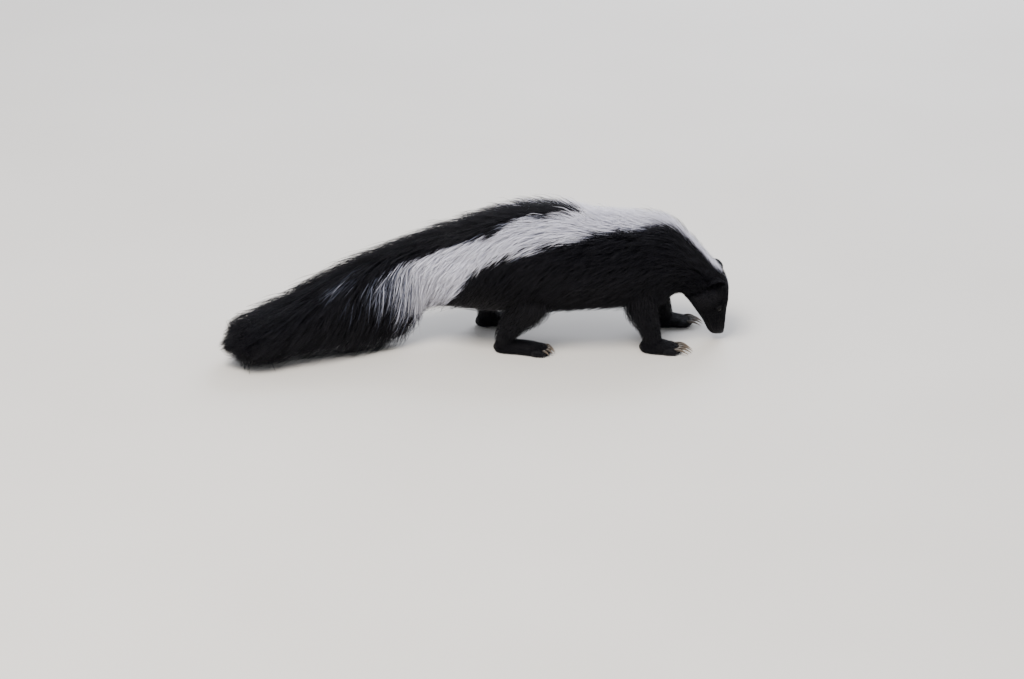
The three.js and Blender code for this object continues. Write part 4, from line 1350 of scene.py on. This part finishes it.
class SKUNK_OT_leg_coat(Operator):
    """Makes the coat of the legs and paws"""

    bl_idname = "skunk.leg_coat"
    bl_label = "Leg and paw coat"

    def execute(self, context):
        rng = np.random.default_rng(SEED + 3)
        hair = bpy.data.materials["guard_hair"]
        quarters = [(0, 0), (0.5, 0), (0, 0.5), (0.5, 0.5)]
        leg_parts, paw_parts = [], []
        for (foot, (kind, _, _, _)), (u0, v0) in zip(FEET.items(), quarters):
            leg = leg_track(foot)
            part = self.coat(leg, foot, (0, leg.length), rng, LEG_HAIR)
            # Locks that are rooted well inside the body are left out.
            _, _, out = nearest_on_spine(part["paths"][:, 0])
            leg_parts.append(self.mapped(part, out > 0.92, u0, v0))
            paw = Track(kind["paw"])
            part = self.coat(paw, foot, (0, paw.length), rng, PAW_HAIR)
            kept = part["paths"][:, 0, 2] > 1.2
            paw_parts.append(self.mapped(part, kept, u0, v0))
            for across in toe_places():
                toe = toe_track(kind, across)
                part = self.coat(toe, foot, (1, toe.length - 2), rng, TOE_HAIR)
                kept = part["paths"][:, 0, 2] > 1.6
                part["u"] = 0.5 + (part["u"] - 0.5) * 0.18 + across * 0.18
                paw_parts.append(self.mapped(part, kept, u0, v0))
        coat_piece("coat_legs", leg_parts, hair)
        coat_piece("coat_paws", paw_parts, hair)
        return {"FINISHED"}

    @staticmethod
    def coat(track, foot, s_range, rng, hair):
        """Locks down a limb, whose length goes from the first to the second of the hair's lengths."""
        s, angle = scatter(full_or_less(hair["count"]), s_range, np.ones_like, rng)
        way = (s - s_range[0]) / (s_range[1] - s_range[0])
        first, last = hair["lengths"]
        steps = hair["steps"]
        look = {
            "steps": steps,
            "length": first + (last - first) * way,
            "droop": np.full(len(s), 3.0),
            "reach": (0.4, 1.1),
            "stray": 0.2,
            "more": 0.0,
            "rise": hair["rise"],
            "level": 0.0,
            "sway": 3.0,
            "radius": track.values(s)[:, 3],
            "tufts": (hair["tuft"],),
            "face": False,
        }
        paths, outward, _, _ = comb(track, s, angle, look, rng, way=1)
        paths[..., 2] = np.maximum(paths[..., 2], 0.5)
        paths = foot_place(paths.reshape(-1, 3), foot).reshape(paths.shape)
        turned = foot_place(outward.reshape(-1, 3), foot).reshape(outward.shape)
        origin = foot_place(np.zeros((1, 3)), foot)
        return {
            "steps": steps,
            "paths": paths,
            "outward": turned - origin,
            "width": hair["width"] * rng.uniform(0.7, 1.3, len(s)),
            "tone": rng.random(len(s)),
            "white": np.zeros(len(s)),
            "u": (angle + 180) / 360,
            "v": way,
        }

    @staticmethod
    def mapped(part, kept, u0, v0):
        """The locks that are kept, with their map in the quarter that starts at u0 and v0."""
        cut = chosen(part, kept)
        cut["u"] = u0 + 0.02 + 0.46 * cut["u"]
        cut["v"] = v0 + 0.02 + 0.46 * cut["v"]
        return cut


class SKUNK_OT_ear_coat(Operator):
    """Makes the short hair on the ears"""

    bl_idname = "skunk.ear_coat"
    bl_label = "Ear coat"

    def execute(self, context):
        rng = np.random.default_rng(SEED + 4)
        count = full_or_less(2600)
        t = np.array([step for step, _ in SHORT_STEPS] + [1.0])[None, :, None]
        parts = []
        for sign, u0 in ((1, 0.0), (-1, 0.5)):
            root = unit(rng.normal(size=(count, 3)))
            turn = np.arctan2(root[:, 1], root[:, 0])
            # Hair runs to the ear's tip over its back and stands out a little round the rim.
            way = np.array([0, 1, 0.0]) + 0.5 * root * (1, 0.4, 0) + rng.normal(0, 0.12, (count, 3))
            length = rng.uniform(0.22, 0.42, count)[:, None, None]
            over = unit(root[:, None] + way[:, None] * length * t)
            lift = 1 + rng.uniform(0.05, 0.17, count)[:, None, None] * t
            # Round the rim the hair leans forward and hides the edge of the bowl.
            edge = hill(root[:, 2], -0.1, 0.3)
            over = unit(over + np.array([0, 0, 0.22]) * edge[:, None, None] * t)
            paths = ear_bowl(over * lift, sign)
            outward = unit(ear_bowl(over * lift * 1.05, sign) - paths)[:, :-1]
            inside = (root[:, 2] > 0) & (np.hypot(root[:, 0], root[:, 1]) < 0.45)
            kept = ~inside & (root[:, 1] > -0.55)
            part = {
                "steps": SHORT_STEPS,
                "paths": paths,
                "outward": outward,
                "width": rng.uniform(0.4, 0.75, count),
                "tone": rng.random(count),
                "white": np.zeros(count),
                "u": u0 + 0.02 + 0.46 * (turn / (2 * np.pi) + 0.5),
                "v": 0.02 + 0.96 * (root[:, 2] + 1) / 2,
            }
            parts.append(chosen(part, kept))
        coat_piece("coat_ears", parts, bpy.data.materials["guard_hair"])
        return {"FINISHED"}


class SKUNK_OT_stage(Operator):
    """Makes the pale floor, the soft lights and the camera"""

    bl_idname = "skunk.stage"
    bl_label = "Studio"

    def execute(self, context):
        stage = context.scene.skunk_stage
        # Camera and lights look at this place on the floor, under the animal's trunk.
        focus = (np.array([38, -4.8, 0]) + SHIFT) * MM
        mesh = bpy.data.meshes.new("floor")
        half = 9.0
        corners = [(-half, -half, 0), (half, -half, 0), (half, half, 0), (-half, half, 0)]
        mesh.from_pydata(corners, [], [(0, 1, 2, 3)])
        floor = bpy.data.objects.new("floor", mesh)
        context.scene.collection.objects.link(floor)
        material, tree = new_material("matt_studio_floor")
        # Painted board: pale, matt and faintly mottled, with mottles of about 0.3 m.
        mottle = noise(tree, object_place(tree), 3.0)
        colour = mixed(tree, mottle, linear("#CFCBC4"), linear("#DAD7D1"))
        finish_with(tree, {"Base Color": colour, "Roughness": 0.85})
        mesh.materials.append(material)
        self.light("key", (-0.7, -1.5, 2.7), focus, 1.3, stage.key_power, "#FFF8F0")
        self.light("rim", (0.9, 2.4, 1.9), focus, 1.8, stage.key_power * 0.6, "#EEF2FF")
        world = bpy.data.worlds.new("studio")
        world.use_nodes = True
        context.scene.world = world
        world.node_tree.nodes["Background"].inputs["Color"].default_value = linear("#E4E8F0")
        world.node_tree.nodes["Background"].inputs["Strength"].default_value = stage.sky
        camera_data = bpy.data.cameras.new("camera")
        camera = bpy.data.objects.new("camera", camera_data)
        context.scene.collection.objects.link(camera)
        away = Vector((0, -np.cos(stage.elevation), np.sin(stage.elevation)))
        camera.location = Vector(focus) + away * stage.distance
        camera.rotation_euler = (-away).to_track_quat("-Z", "Y").to_euler()
        camera_data.lens = camera_data.sensor_width * stage.distance / stage.view_width
        context.scene.camera = camera
        return {"FINISHED"}

    @staticmethod
    def light(name, place, focus, size, power, colour):
        """A square soft light at a place, turned to the focus."""
        data = bpy.data.lights.new(name, "AREA")
        data.size = size
        data.energy = power
        data.color = linear(colour)[:3]
        lamp = bpy.data.objects.new(name, data)
        bpy.context.scene.collection.objects.link(lamp)
        lamp.location = Vector(focus) + Vector(place)
        lamp.rotation_euler = (-Vector(place)).to_track_quat("-Z", "Y").to_euler()


OPERATORS = (
    SKUNK_OT_stage,
    SKUNK_OT_skin,
    SKUNK_OT_eyes,
    SKUNK_OT_nose,
    SKUNK_OT_claws,
    SKUNK_OT_body_coat,
    SKUNK_OT_leg_coat,
    SKUNK_OT_ear_coat,
    SKUNK_OT_whiskers,
)
GROUPS = {"skunk_coat": SkunkCoat, "skunk_face": SkunkFace, "skunk_stage": SkunkStage}


class SKUNK_PT_panel(Panel):
    """Lists the pieces of the skunk"""

    bl_idname = "SKUNK_PT_panel"
    bl_label = "Striped skunk"
    bl_space_type = "VIEW_3D"
    bl_region_type = "UI"
    bl_category = "Skunk"

    def draw(self, context):
        for label, group in GROUPS.items():
            settings = getattr(context.scene, label)
            for name in group.__annotations__:
                self.layout.prop(settings, name)
        for operator in OPERATORS:
            self.layout.operator(operator.bl_idname)


def register():
    for cls in (*GROUPS.values(), *OPERATORS, SKUNK_PT_panel):
        bpy.utils.register_class(cls)
    for label, group in GROUPS.items():
        setattr(bpy.types.Scene, label, PointerProperty(type=group))


def unregister():
    for label in GROUPS:
        delattr(bpy.types.Scene, label)
    for cls in (SKUNK_PT_panel, *OPERATORS[::-1], *GROUPS.values()):
        bpy.utils.unregister_class(cls)


def main():
    register()
    for operator in OPERATORS:
        family, name = operator.bl_idname.split(".")
        getattr(getattr(bpy.ops, family), name)()
    bpy.context.view_layer.update()


if __name__ == "__main__":
    main()
